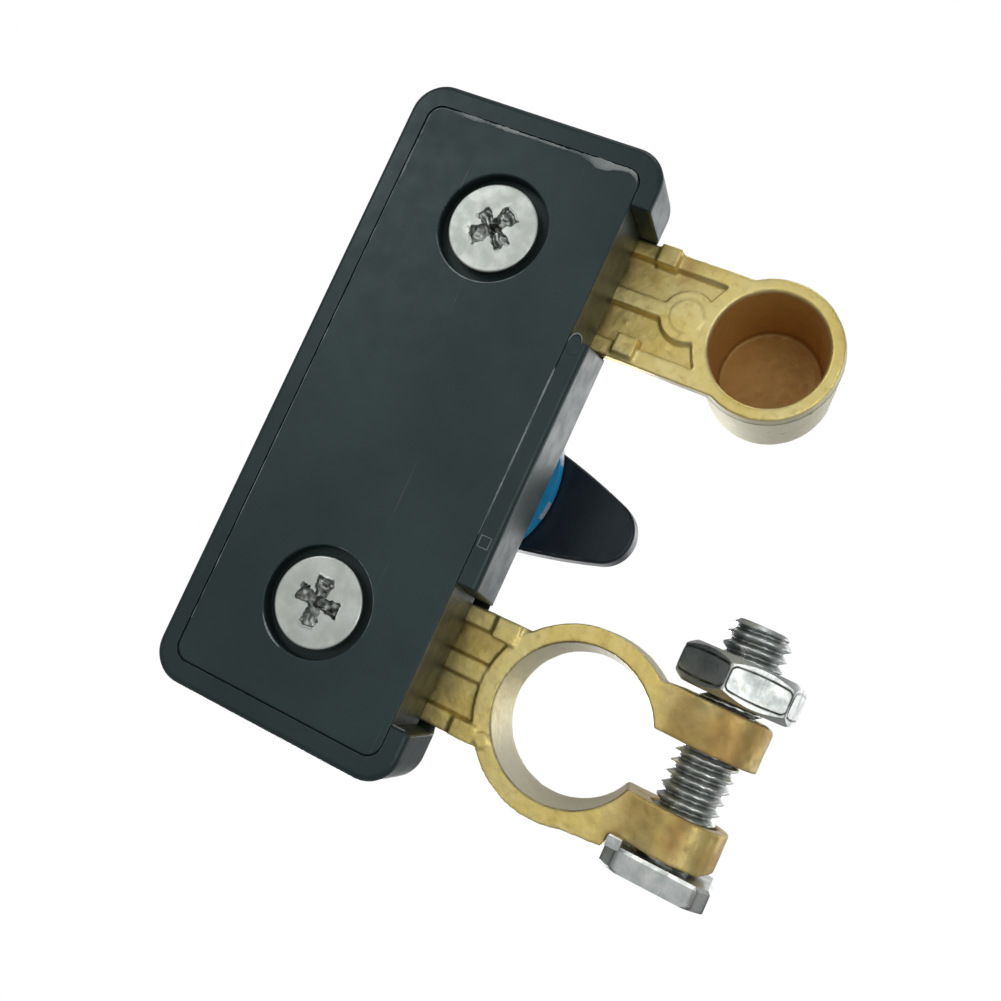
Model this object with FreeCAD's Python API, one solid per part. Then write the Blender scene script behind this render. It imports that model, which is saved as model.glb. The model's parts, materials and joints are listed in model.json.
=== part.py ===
"""Top-post battery switch: a rotary master switch that clamps on a battery post.

The part frame has its origin at the centre of the housing's outline, on the plane of its back rim.
+Z goes from the back towards the dial and the lever, +Y out towards the two brass terminals, and +X
towards the dummy post. All sizes are in millimetres.
"""

import FreeCAD, Part
import math
import os
from FreeCAD import Placement, Rotation, Vector

# ---- housing -------------------------------------------------------------------------------------
HOUSING_HALF_X = 40.85
HOUSING_HALF_Y = 17.1
HOUSING_CORNER_R = 4.3
SKIRT_TOP_Z = 9.6            # the straight side wall ends here and the sloping shoulder starts
HOUSING_TOP_Z = 21.0
SHOULDER_INSET = 3.4         # how far the shoulder leans in by the time it reaches the top
TOP_EDGE_R = 0.8
BACK_EDGE_R = 0.8
SLOT_EDGE_R = 0.3
CAVITY_HALF_X = 38.0
CAVITY_HALF_Y = 14.6
CAVITY_CORNER_R = 2.0
CAVITY_STEP_Z = 12.2         # above this the cavity narrows to follow the shoulder
UPPER_CAVITY_INSET = 2.7
CEILING_Z = 18.5
POST_SLOT_X = (16.3, 33.7)
CLAMP_SLOT_X = (-33.5, -15.4)
SLOT_DRAFT = 1.0
WELL_R = 8.3                 # round well that the spindle's flange turns in
WELL_WALL_R = 12.4
ROOF_LINING_Z = 15.3         # the bosses under the roof come down to here, just clear of the arms
BALL_CHANNEL_HALF_Y = 2.6
INSERT_BOSS_WALL = 1.8
ROOF_RIB_HALF = 1.0

# ---- back cover and its screws -------------------------------------------------------------------
COVER_FIT = 0.08             # gap all round between the cover and the cavity
COVER_FACE_Z = 0.0           # flush with the housing's rim
COVER_PLATE_TOP_Z = 3.0
COVER_SKIRT_TOP_Z = 10.1
COVER_WALL = 2.0
COVER_EDGE_R = 0.25
COVER_INNER_CORNER_R = 1.0
COVER_RIB_HALF = 0.8
COVER_RIB_TOP_Z = 8.0
SCREW_BOSS_R = 6.4
PIVOT_BOSS_R = 5.2
SCREW_X = (25.5, -24.5)
SCREW_Y = -0.2
SCREW_FACE_Z = 0.15
SCREW_HEAD_R = 5.65
SCREW_SHANK_R = 3.0          # M6
SCREW_END_Z = 19.2
SCREW_POINT = 0.8
SCREW_RIM = 0.35             # short straight rim of the countersunk head
SCREW_TURNS_DEG = (39.0, 2.0)
RECESS_REACH, RECESS_WIDTH, RECESS_DEPTH = 3.3, 1.5, 2.6
COUNTERBORE_R = 6.87
COUNTERBORE_Z = 2.0
COUNTERBORE_EDGE_R = 0.2
HOLE_GAP = 0.1
SHANK_GAP = 0.25
INSERT_R = 4.0
INSERT_TOP_Z = 19.6

# ---- brass terminals -----------------------------------------------------------------------------
ARM_NEAR_Z = 10.2
ARM_FAR_Z = 15.2
TONGUE_NEAR_Z = 12.2
PAD_END_Y = -7.5
PARTING_Z = 11.7             # the castings are widest here, at the mould's parting line
ARM_DRAFT = 1.0              # how far the arm's far edges lean in from the parting line
POST_ARM_X = (18.05, 33.6)
CLAMP_ARM_X = (-32.85, -17.1)
TONGUE_END_X = 8.6
TONGUE_HALF_Y = 5.0
POCKET_DEPTH = 1.4
POCKET_START_Y = 12.6
ARM_HOLE_GAP = 0.3

POST_X, POST_Y = 26.05, 35.07
POST_RIB_X = (25.0, 27.15)   # the middle rib between the arm's two pockets
POST_ARM_RIMS = (2.2, 1.9)   # width of the arm's side rims, at its low and its high side in X
EJECTOR_X, EJECTOR_Y = 26.3, 24.2
EJECTOR_BOSS_R = 3.4
EJECTOR_MARK_R = 2.1
EJECTOR_MARK_HEIGHT = 0.12
NUB_HEIGHT = 0.8
NUB_DEPTH = 1.7
NUBS = (((31.4, 33.9), (17.7, 20.5)), ((18.7, 21.4), (17.2, 20.0)))
POST_MOUTH_R = 8.98
POST_FLANGE_R = 9.26
POST_BASE_R = 9.2
POST_TOP_R = 8.35
POST_TOP_Z = 27.1
POST_BORE_R = 7.32
POST_BORE_END_R = 6.9
POST_BORE_END_Z = 25.7
POST_EDGE_R = 0.7
POST_LEAD_IN = 0.25

CLAMP_X, CLAMP_Y = -25.3, 31.9
RING_OUTER_R = 12.2
RING_STEP = 0.12             # the ring and the ears stand this far behind the arm's back face
RING_MOUTH_R = 9.89
RING_LAND_R = 9.11
RING_LAND_Z = 17.2
RING_TOP_Z = 18.8
CLAMP_RIB_X = (-25.75, -23.3)
CLAMP_ARM_RIM = 2.4
CLAMP_PAD_X = (2.7, 2.3)     # the raised pads' widths, at the arm's high and its low side in X
CLAMP_PAD_Y = (18.4, 21.6)
CLAMP_PAD_HEIGHT = 0.4
CLAMP_PIP_X, CLAMP_PIP_Y, CLAMP_PIP_R = -31.7, 22.7, 0.95
EAR_GAP_X = (-29.1, -21.3)
EAR_OUTER_X = (-34.6, -15.6)
EAR_END_Y = 53.65
SHOULDER_X = -36.4           # the web beside the bolt head, which keeps the head from turning
SHOULDER_END_Y = 40.9
EAR_START_Y = 36.0           # the ears grow out of the ring from here
EAR_SLOPE_Y = (30.0, 42.0)   # seen from the side the ears are level with the ring up to the second

# ---- clamp bolt and nut --------------------------------------------------------------------------
BOLT_Y, BOLT_Z = 47.85, 14.5
BOLT_R = 3.95                # 5/16-18 UNC, over the thread crests
BOLT_HOLE_R = 4.25
BOLT_HEAD_X = (-38.0, -35.15)
BOLT_HEAD_WIDTH = 13.0
BOLT_HEAD_CORNER = 1.5
BOLT_HEAD_BEVEL = 0.55
BOLT_HEAD_BEVEL_SLOPE = 0.75 # how far the bevel falls along the bolt for each millimetre out
BOLT_TIP_X = -5.0
BOLT_TIP_BEVEL = 0.8
HEAD_LUG_TOP_X = -34.25      # a small lug under the head, beside the ear
HEAD_LUG_Y = (41.35, 43.1)
HEAD_LUG_Z = (8.0, 9.6)
NUT_X = (-14.75, -9.55)
NUT_ACROSS_FLATS = 14.2
NUT_BORE_R = 4.01
NUT_TURN_DEG = 20.0
NUT_BEVEL = 1.55             # how far inside its corners the nut's end faces stop
NUT_BEVEL_SLOPE = 0.667

# ---- switch mechanism ----------------------------------------------------------------------------
SPINDLE_R = 5.0
SPINDLE_BORE_R = 5.05
SQUARE = 6.5                 # lower drive, through the contact bar and the spring seat
DRIVE_SQUARE = 7.0           # upper drive, in the lever
PIVOT_R = 2.5
PIVOT_END_Z = 1.9
PIVOT_GAP = 0.05
SQUARE_CORNER_R = 4.3
DRIVE_CORNER_R = 4.6
SQUARE_END_Z = 3.9
DRIVE_START_Z = 22.0
SPINDLE_TOP_Z = 28.5
FLANGE_R = 8.0
FLANGE_Z = (15.9, 17.9)
STOP_TAB_R = 10.3
STOP_TAB_HALF_DEG = 11.0
STOP_TAB_AT_DEG = -45.0
TRAVEL_DEG = 90.0
STOP_GAP_DEG = 0.6
BALL_R = 1.1
BALL_POCKET_R = 1.16
BALL_POCKET_END = 16.0
BALL_GAP = 0.02
NOTCH_DEPTH = 0.6
DETENT_SPRING_R = 0.72
DETENT_WIRE_R = 0.18
DETENT_COILS = 6.0
DETENT_Z = 16.9
SEAL_GROOVE_Z = (19.1, 20.4)
SEAL_CORD_R = 0.6
CLIP_Z = (4.35, 4.95)
CLIP_R = 5.2
CLIP_GROOVE_R = 2.6
CLIP_MOUTH_HALF = 1.9
SEAT_Z = (5.05, 6.2)
SEAT_R = 8.6
SEAT_WALL = 1.0
SEAT_RIM = 1.1
CONTACT_SPRING_R = 6.2
CONTACT_WIRE_R = 0.35
CONTACT_COILS = 2.0
SPRING_GAP = 0.05
BAR_Z = (8.9, 10.9)
BAR_WIDTH = 8.0
BAR_REACH = 11.9
BAR_HUB_R = 7.6
CONTACT_AT = 10.2            # radius of the contact tips
TIP_R = 1.5
TIP_CROWN = 0.15
TIP_BEVEL = 0.35
TIP_TOP_Z = 11.36
FIXED_CONTACT_Z = 11.4
FIXED_CONTACT_END = 12.0
FIXED_CONTACT_HALF_Y = 3.2

# ---- dial and lever ------------------------------------------------------------------------------
DIAL_R = 15.1
DIAL_TOP_Z = 24.3
DIAL_WALL = 2.0
DIAL_PLATE = 1.5
DIAL_EDGE_R = 0.6
DIAL_HOLE_R = 6.2
DIAL_HUB_WALL = 1.3
PEG_R = 1.2
PEG_AT = 11.0
PEG_END_Z = 19.2
PEG_ANGLES = (45, 135, 225, 315)
LEVER_Z = (24.7, 33.0)
LEVER_REACH = 27.2
LEVER_NOSE_R = 4.6
LEVER_HUB_R = 9.2
LEVER_HIP = (9.0, 2.0)       # the flank's arc starts here, at the hub
LEVER_FLANK = (7.2, 14.0)    # it passes through here
LEVER_NOSE_LEAN_DEG = 16.0   # and it meets the round nose this far past the nose's widest place
LEVER_TOP_SLOPE = ((-12.0, 0.0), (6.0, 0.6), (40.0, 5.0))  # fall of the top face at each y
LEVER_TOP_EDGE_R = 1.4
LEVER_FOOT_EDGE_R = 0.5
LEVER_SQUARE_GAP = 0.06
LEVER_SEAT_DEG = 1.8         # the lever's socket sits this far round from square
LEVER_OFFSET_X = -0.6        # and this far from the middle of the lever
LEVER_SCREW_SEAT_Z = 28.8
LEVER_SCREW_HEAD_R = 3.8
LEVER_SCREW_HEAD_HEIGHT = 2.3
LEVER_SCREW_EDGE_R = 0.9
LEVER_SCREW_R = 2.0
LEVER_SCREW_END_Z = 22.2
LEVER_RECESS_REACH, LEVER_RECESS_WIDTH, LEVER_RECESS_DEPTH = 2.1, 1.0, 1.5
CAP_R = 4.6
CAP_THICKNESS = 1.45
CAP_SUNK = 0.25
CAP_EDGE_R = 0.4

UP = Vector(0, 0, 1)
ALONG_X = Vector(1, 0, 0)


# ---- small helpers -------------------------------------------------------------------------------
def box(xs, ys, zs):
    """A box between two values on each axis."""
    low = Vector(min(xs), min(ys), min(zs))
    size = [max(values) - min(values) for values in (xs, ys, zs)]
    return Part.makeBox(size[0], size[1], size[2], low)


def disc(radius, zs, x=0.0, y=0.0):
    """An upright cylinder between two heights."""
    return Part.makeCylinder(radius, zs[1] - zs[0], Vector(x, y, zs[0]), UP)


def taper(low_radius, high_radius, zs, x=0.0, y=0.0):
    """An upright cone frustum between two heights."""
    return Part.makeCone(low_radius, high_radius, zs[1] - zs[0], Vector(x, y, zs[0]), UP)


def bar_along_x(radius, xs, y, z):
    """A cylinder along X between two values of x."""
    return Part.makeCylinder(radius, xs[1] - xs[0], Vector(xs[0], y, z), ALONG_X)


def fuse(*shapes):
    return shapes[0].multiFuse(list(shapes[1:])).removeSplitter()


def polygon_prism(points, zs):
    """An upright prism on a polygon of (x, y) corners."""
    corners = [Vector(x, y, zs[0]) for x, y in points]
    wire = Part.makePolygon(corners + corners[:1])
    return Part.Face(wire).extrude(Vector(0, 0, zs[1] - zs[0]))


def rounded_outline(half_x, half_y, corner_r, z):
    """A closed wire: a rectangle about the Z axis with round corners."""
    arcs = []
    for side_x, side_y, start in ((1, 1, 0), (-1, 1, 90), (-1, -1, 180), (1, -1, 270)):
        centre = Vector(side_x * (half_x - corner_r), side_y * (half_y - corner_r), z)
        turn = [math.radians(start + step) for step in (0, 45, 90)]
        arcs.append([centre + Vector(math.cos(a), math.sin(a), 0) * corner_r for a in turn])
    edges = []
    for index, arc in enumerate(arcs):
        edges.append(Part.Arc(*arc).toShape())
        edges.append(Part.makeLine(arc[2], arcs[(index + 1) % 4][0]))
    return Part.Wire(edges)


def rounded_block(half_x, half_y, corner_r, zs):
    outline = rounded_outline(half_x, half_y, corner_r, zs[0])
    return Part.Face(outline).extrude(Vector(0, 0, zs[1] - zs[0]))


def sector(inner_r, outer_r, start_deg, end_deg, zs):
    """Part of an upright ring between two angles about the Z axis."""
    ring = Part.makeCylinder(outer_r, zs[1] - zs[0], Vector(0, 0, zs[0]), UP, end_deg - start_deg)
    ring.rotate(Vector(0, 0, 0), UP, start_deg)
    return ring.cut(disc(inner_r, (zs[0] - 1, zs[1] + 1)))


def coil(mean_r, wire_r, length, turns):
    """A helical spring along +Z whose wire's centre line starts at z = 0."""
    helix = Part.makeHelix(length / turns, length, mean_r)
    ring = Part.makeCircle(wire_r, Vector(mean_r, 0, 0), Vector(0, 1, 0))
    return Part.Wire(helix).makePipeShell([Part.Wire(ring)], True, True)


def turned(shape, degrees, axis=UP, centre=Vector(0, 0, 0)):
    copy = shape.copy()
    copy.rotate(centre, axis, degrees)
    return copy


def cross_recess(reach, width, depth):
    """A tapered cross recess that opens at z = 0 and goes up to z = depth."""
    wing = []
    for z, half_x, half_y in ((0, reach, width / 2), (depth, reach * 0.45, width * 0.3)):
        corners = [Vector(sx * half_x, sy * half_y, z) for sx, sy in ((1, 1), (-1, 1), (-1, -1), (1, -1))]
        wing.append(Part.makePolygon(corners + corners[:1]))
    blade = Part.makeLoft(wing, True, True)
    return blade.fuse(turned(blade, 90))


# ---- housing and cover ---------------------------------------------------------------------------
def make_housing():
    skirt = rounded_block(HOUSING_HALF_X, HOUSING_HALF_Y, HOUSING_CORNER_R, (0, SKIRT_TOP_Z))
    foot = rounded_outline(HOUSING_HALF_X, HOUSING_HALF_Y, HOUSING_CORNER_R, SKIRT_TOP_Z)
    top_x = HOUSING_HALF_X - SHOULDER_INSET
    top_y = HOUSING_HALF_Y - SHOULDER_INSET
    crown = rounded_outline(top_x, top_y, HOUSING_CORNER_R - 1, HOUSING_TOP_Z)
    body = fuse(skirt, Part.makeLoft([foot, crown], True, True))
    top_edges = [e for e in body.Edges if e.BoundBox.ZMin > HOUSING_TOP_Z - 0.01]
    body = body.makeFillet(TOP_EDGE_R, top_edges)
    back_edges = [e for e in body.Edges if e.BoundBox.ZMax < 0.01]
    body = body.makeFillet(BACK_EDGE_R, back_edges)

    body = body.cut(rounded_block(CAVITY_HALF_X, CAVITY_HALF_Y, CAVITY_CORNER_R, (-1, CAVITY_STEP_Z)))
    upper_x = CAVITY_HALF_X - UPPER_CAVITY_INSET
    upper_y = CAVITY_HALF_Y - UPPER_CAVITY_INSET
    body = body.cut(rounded_block(upper_x, upper_y, CAVITY_CORNER_R, (CAVITY_STEP_Z - 1, CEILING_Z)))

    roof = (ROOF_LINING_Z, CEILING_Z + 0.5)
    channel_x = BALL_POCKET_END + 1.5
    channel_y = BALL_CHANNEL_HALF_Y
    lining = [disc(WELL_WALL_R, roof), box((-channel_x, channel_x), (-channel_y, channel_y), roof)]
    for x in SCREW_X:
        lining.append(disc(INSERT_R + INSERT_BOSS_WALL, roof, x, SCREW_Y))
        rib_x = (x - ROOF_RIB_HALF, x + ROOF_RIB_HALF)
        lining.append(box(rib_x, (-upper_y - 0.5, upper_y + 0.5), roof))
    body = fuse(body, *lining)

    under_roof = ROOF_LINING_Z - 1
    body = body.cut(disc(WELL_R, (under_roof, CEILING_Z)))
    first = STOP_TAB_AT_DEG - TRAVEL_DEG - STOP_TAB_HALF_DEG - STOP_GAP_DEG
    last = STOP_TAB_AT_DEG + STOP_TAB_HALF_DEG + STOP_GAP_DEG
    body = body.cut(sector(WELL_R - 1, STOP_TAB_R + 0.3, first, last, (under_roof, CEILING_Z)))
    body = body.cut(disc(SPINDLE_BORE_R, (CEILING_Z - 1, HOUSING_TOP_Z + 1)))
    body = body.cut(bar_along_x(BALL_POCKET_R, (-BALL_POCKET_END, BALL_POCKET_END), 0, DETENT_Z))
    for x in SCREW_X:
        body = body.cut(disc(INSERT_R + 0.02, (under_roof, INSERT_TOP_Z), x, SCREW_Y))
    for outer_x, inner_x in ((POST_SLOT_X[1], POST_SLOT_X[0]), CLAMP_SLOT_X):
        body = body.cut(terminal_slot(outer_x, inner_x))
    slot_edges = [e for e in body.Edges if is_slot_corner(e)]
    body = body.makeFillet(SLOT_EDGE_R, slot_edges)
    for x, y in peg_places():
        body = body.cut(disc(PEG_R + 0.05, (PEG_END_Z - 0.1, HOUSING_TOP_Z + 1), x, y))
    return body


def peg_places():
    """Where the dial's four pegs go into the housing's roof."""
    turns = [math.radians(angle) for angle in PEG_ANGLES]
    return [(PEG_AT * math.cos(turn), PEG_AT * math.sin(turn)) for turn in turns]


def is_slot_corner(edge):
    """Whether an edge is where a slot's side meets the outside of the straight +Y wall."""
    bounds = edge.BoundBox
    in_wall = abs(bounds.YMin - HOUSING_HALF_Y) < 0.01 and abs(bounds.YMax - HOUSING_HALF_Y) < 0.01
    inside_x = bounds.XMin > CLAMP_SLOT_X[0] - 1 and bounds.XMax < POST_SLOT_X[1] + 1
    return in_wall and inside_x and bounds.ZLength > SKIRT_TOP_Z / 2


def terminal_slot(outer_x, inner_x):
    """A slot through the +Y wall, open to the back. Its edge on the middle wall leans by the draft."""
    lean = SLOT_DRAFT if outer_x > inner_x else -SLOT_DRAFT
    top_z = ROOF_LINING_Z + 0.1
    section = [(outer_x, -0.1), (inner_x, -0.1), (inner_x + lean, SKIRT_TOP_Z), (inner_x + lean, top_z)]
    section.append((outer_x, top_z))
    corners = [Vector(x, CAVITY_HALF_Y - 4, z) for x, z in section]
    return Part.Face(Part.makePolygon(corners + corners[:1])).extrude(Vector(0, 10, 0))


def is_circle(edge, radius):
    """Whether an edge is a circle of this radius."""
    return isinstance(edge.Curve, Part.Circle) and abs(edge.Curve.Radius - radius) < 0.01


def make_back_cover():
    half_x = CAVITY_HALF_X - COVER_FIT
    half_y = CAVITY_HALF_Y - COVER_FIT
    tray = rounded_block(half_x, half_y, CAVITY_CORNER_R, (COVER_FACE_Z, COVER_SKIRT_TOP_Z))
    face_edges = [e for e in tray.Edges if e.BoundBox.ZMax < COVER_FACE_Z + 0.01]
    tray = tray.makeFillet(COVER_EDGE_R, face_edges)
    inner_x = half_x - COVER_WALL
    inner_y = half_y - COVER_WALL
    hollow = (COVER_PLATE_TOP_Z, COVER_SKIRT_TOP_Z + 1)
    tray = tray.cut(rounded_block(inner_x, inner_y, COVER_INNER_CORNER_R, hollow))
    root_z = COVER_PLATE_TOP_Z - 0.5
    bosses = [disc(PIVOT_BOSS_R, (root_z, SQUARE_END_Z - 0.1))]
    for x in SCREW_X:
        bosses.append(disc(SCREW_BOSS_R, (root_z, COVER_SKIRT_TOP_Z), x, SCREW_Y))
        rib_x = (x - COVER_RIB_HALF, x + COVER_RIB_HALF)
        bosses.append(box(rib_x, (-inner_y - 1, inner_y + 1), (root_z, COVER_RIB_TOP_Z)))
    tray = fuse(tray, *bosses)
    tray = tray.cut(disc(PIVOT_R + PIVOT_GAP, (PIVOT_END_Z - 0.1, SQUARE_END_Z)))
    seat_r = SCREW_HEAD_R + SCREW_FACE_Z + SCREW_RIM - COUNTERBORE_Z + HOLE_GAP
    hole_r = SCREW_SHANK_R + SHANK_GAP
    for x in SCREW_X:
        tray = tray.cut(disc(COUNTERBORE_R, (COVER_FACE_Z, COUNTERBORE_Z), x, SCREW_Y))
        seat_z = (COUNTERBORE_Z, COUNTERBORE_Z + seat_r - hole_r)
        tray = tray.cut(taper(seat_r, hole_r, seat_z, x, SCREW_Y))
        tray = tray.cut(disc(hole_r, (COUNTERBORE_Z, COVER_SKIRT_TOP_Z + 1), x, SCREW_Y))
    mouths = [e for e in tray.Edges if e.BoundBox.ZMax < 0.01 and is_circle(e, COUNTERBORE_R)]
    return tray.makeFillet(COUNTERBORE_EDGE_R, mouths)


def make_cover_screws():
    land_z = SCREW_FACE_Z + SCREW_RIM
    cone_z = land_z + SCREW_HEAD_R - SCREW_SHANK_R
    point_z = SCREW_END_Z - SCREW_POINT
    screws = []
    for x, turn in zip(SCREW_X, SCREW_TURNS_DEG):
        head = disc(SCREW_HEAD_R, (SCREW_FACE_Z, land_z), x, SCREW_Y)
        cone = taper(SCREW_HEAD_R, SCREW_SHANK_R, (land_z, cone_z), x, SCREW_Y)
        shank = disc(SCREW_SHANK_R, (cone_z, point_z), x, SCREW_Y)
        point = taper(SCREW_SHANK_R, SCREW_SHANK_R - SCREW_POINT, (point_z, SCREW_END_Z), x, SCREW_Y)
        recess = turned(cross_recess(RECESS_REACH, RECESS_WIDTH, RECESS_DEPTH), turn)
        recess.translate(Vector(x, SCREW_Y, SCREW_FACE_Z))
        screws.append(fuse(head, cone, shank, point).cut(recess))
    return Part.makeCompound(screws)


def make_threaded_inserts():
    inserts = []
    for x in SCREW_X:
        sleeve = disc(INSERT_R, (ROOF_LINING_Z, INSERT_TOP_Z), x, SCREW_Y)
        thread = disc(SCREW_SHANK_R + 0.03, (ROOF_LINING_Z - 1, INSERT_TOP_Z + 1), x, SCREW_Y)
        inserts.append(sleeve.cut(thread))
    return Part.makeCompound(inserts)


# ---- brass terminals -----------------------------------------------------------------------------
def terminal_bar(arm_x, end_y, screw_x):
    """The flat part of a terminal: the screwed pad, the contact tongue and the arm."""
    side = 1 if screw_x > 0 else -1
    near, widest, far = ARM_NEAR_Z, PARTING_Z, ARM_FAR_Z
    section = [(arm_x[0], near), (arm_x[1], near), (arm_x[1], widest), (arm_x[1] - ARM_DRAFT, far)]
    section += [(arm_x[0] + ARM_DRAFT, far), (arm_x[0], widest)]
    corners = [Vector(x, PAD_END_Y, z) for x, z in section]
    arm = Part.Face(Part.makePolygon(corners + corners[:1])).extrude(Vector(0, end_y - PAD_END_Y, 0))
    root_x = arm_x[0] + 3 if side > 0 else arm_x[1] - 3
    tongue_y = (-TONGUE_HALF_Y, TONGUE_HALF_Y)
    tongue = box((side * TONGUE_END_X, root_x), tongue_y, (TONGUE_NEAR_Z, ARM_FAR_Z))
    hole = disc(SCREW_SHANK_R + ARM_HOLE_GAP, (ARM_NEAR_Z - 1, ARM_FAR_Z + 1), screw_x, SCREW_Y)
    return fuse(arm, tongue).cut(hole)


def arm_pocket(xs, end_circle, keep):
    """A shallow cored pocket in the arm's near face that stops at the terminal's round end."""
    x, y, radius = end_circle
    pocket = box(xs, (POCKET_START_Y, y), (ARM_NEAR_Z - 1, ARM_NEAR_Z + POCKET_DEPTH))
    pocket = pocket.cut(disc(radius, (ARM_NEAR_Z - 2, ARM_FAR_Z), x, y))
    for solid in keep:
        pocket = pocket.cut(solid)
    return pocket


def make_post_terminal():
    body = terminal_bar(POST_ARM_X, POST_Y - 4, SCREW_X[0])
    boss = disc(EJECTOR_BOSS_R, (ARM_NEAR_Z - 2, ARM_FAR_Z), EJECTOR_X, EJECTOR_Y)
    end = (POST_X, POST_Y, POST_FLANGE_R + 0.1)
    body = body.cut(arm_pocket((POST_ARM_X[0] + POST_ARM_RIMS[0], POST_RIB_X[0]), end, [boss]))
    body = body.cut(arm_pocket((POST_RIB_X[1], POST_ARM_X[1] - POST_ARM_RIMS[1]), end, [boss]))
    flange = taper(POST_MOUTH_R, POST_FLANGE_R, (ARM_NEAR_Z, PARTING_Z), POST_X, POST_Y)
    tube = taper(POST_BASE_R, POST_TOP_R, (PARTING_Z, POST_TOP_Z), POST_X, POST_Y)
    rim = [e for e in tube.Edges if e.BoundBox.ZMin > POST_TOP_Z - 0.01]
    tube = tube.makeFillet(POST_EDGE_R, rim)
    mark_z = (ARM_NEAR_Z - EJECTOR_MARK_HEIGHT, ARM_NEAR_Z + 0.5)
    mark = disc(EJECTOR_MARK_R, mark_z, EJECTOR_X, EJECTOR_Y)
    nub_z = (ARM_NEAR_Z - NUB_HEIGHT, ARM_NEAR_Z + NUB_DEPTH)
    nubs = [box(xs, ys, nub_z) for xs, ys in NUBS]
    body = fuse(body, flange, tube, mark, *nubs)
    bore = taper(POST_BORE_R, POST_BORE_END_R, (ARM_NEAR_Z, POST_BORE_END_Z), POST_X, POST_Y)
    lead_in_z = (ARM_NEAR_Z, ARM_NEAR_Z + POST_LEAD_IN)
    lead_in = taper(POST_BORE_R + POST_LEAD_IN, POST_BORE_R, lead_in_z, POST_X, POST_Y)
    return body.cut(bore).cut(lead_in)


def ear_side_view():
    """The ears' outline seen along X, as a long prism: level with the ring, then round about the bolt."""
    boss_r = EAR_END_Y - BOLT_Y
    start_x = EAR_OUTER_X[0] - 20
    first_y, last_y = EAR_SLOPE_Y
    near_z = ARM_NEAR_Z - RING_STEP
    low = [(first_y, near_z), (last_y, near_z), (BOLT_Y - 1.5, BOLT_Z - boss_r)]
    high = [(BOLT_Y - 1.5, BOLT_Z + boss_r), (last_y, RING_TOP_Z), (first_y, RING_TOP_Z)]
    points = [Vector(start_x, y, z) for y, z in low]
    points.append(Vector(start_x, BOLT_Y, BOLT_Z - boss_r))
    points_back = [Vector(start_x, BOLT_Y, BOLT_Z + boss_r)]
    points_back += [Vector(start_x, y, z) for y, z in high]
    points_back.append(points[0])
    end = Vector(start_x, EAR_END_Y, BOLT_Z)
    edges = [Part.makeLine(a, b) for a, b in zip(points, points[1:])]
    edges.append(Part.Arc(points[-1], end, points_back[0]).toShape())
    edges += [Part.makeLine(a, b) for a, b in zip(points_back, points_back[1:])]
    return Part.Face(Part.Wire(edges)).extrude(Vector(-start_x, 0, 0))


def ear_plans():
    """The two ears seen along Z: the plain one by the nut and the shouldered one by the bolt head."""
    middle_x = CLAMP_X
    beyond_y = EAR_END_Y + 1
    nut_x = EAR_OUTER_X[1]
    head_x = EAR_OUTER_X[0]
    nut_ear = [(middle_x, EAR_START_Y), (nut_x - 0.5, EAR_START_Y + 0.5), (nut_x, EAR_START_Y + 6)]
    nut_ear += [(nut_x, EAR_END_Y - 1.05), (nut_x - 0.9, beyond_y), (middle_x, beyond_y)]
    head_ear = [(middle_x, EAR_START_Y), (SHOULDER_X - 0.5, EAR_START_Y - 0.1)]
    head_ear += [(SHOULDER_X, SHOULDER_END_Y), (head_x, SHOULDER_END_Y + 0.3)]
    head_ear += [(head_x, EAR_END_Y - 1.45), (head_x + 1.2, beyond_y), (middle_x, beyond_y)]
    return nut_ear, head_ear


def make_clamp_terminal():
    body = terminal_bar(CLAMP_ARM_X, CLAMP_Y - 9, SCREW_X[1])
    end = (CLAMP_X, CLAMP_Y, RING_OUTER_R + 0.25)
    body = body.cut(arm_pocket((CLAMP_ARM_X[0] + CLAMP_ARM_RIM, CLAMP_RIB_X[0]), end, []))
    body = body.cut(arm_pocket((CLAMP_RIB_X[1], CLAMP_ARM_X[1] - CLAMP_ARM_RIM), end, []))
    ring = disc(RING_OUTER_R, (ARM_NEAR_Z - RING_STEP, RING_TOP_Z), CLAMP_X, CLAMP_Y)
    nut_ear, head_ear = [polygon_prism(plan, (0, BOLT_Z * 2)) for plan in ear_plans()]
    ears = fuse(nut_ear, head_ear).common(ear_side_view())
    pad_z = (ARM_NEAR_Z - CLAMP_PAD_HEIGHT, ARM_NEAR_Z + 1)
    pads = [box((CLAMP_ARM_X[1] - CLAMP_PAD_X[0], CLAMP_ARM_X[1]), CLAMP_PAD_Y, pad_z)]
    pads.append(box((CLAMP_ARM_X[0], CLAMP_ARM_X[0] + CLAMP_PAD_X[1]), CLAMP_PAD_Y, pad_z))
    pads.append(disc(CLAMP_PIP_R, pad_z, CLAMP_PIP_X, CLAMP_PIP_Y))
    body = fuse(body, ring, ears, *pads)
    mouth = taper(RING_MOUTH_R, RING_LAND_R, (ARM_NEAR_Z, RING_LAND_Z), CLAMP_X, CLAMP_Y)
    below = disc(RING_MOUTH_R, (0, ARM_NEAR_Z), CLAMP_X, CLAMP_Y)
    land = disc(RING_LAND_R, (RING_LAND_Z, RING_TOP_Z + 5), CLAMP_X, CLAMP_Y)
    body = body.cut(mouth).cut(below).cut(land)
    body = body.cut(box(EAR_GAP_X, (CLAMP_Y + 4, EAR_END_Y + 2), (0, BOLT_Z * 2)))
    return body.cut(bar_along_x(BOLT_HOLE_R, (EAR_OUTER_X[0] - 10, EAR_OUTER_X[1] + 10), BOLT_Y, BOLT_Z))


def make_fixed_contacts():
    pads = []
    for side in (1, -1):
        xs = (side * (TONGUE_END_X + 0.2), side * FIXED_CONTACT_END)
        ys = (-FIXED_CONTACT_HALF_Y, FIXED_CONTACT_HALF_Y)
        pads.append(box(xs, ys, (FIXED_CONTACT_Z, TONGUE_NEAR_Z)))
    return Part.makeCompound(pads)


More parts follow.
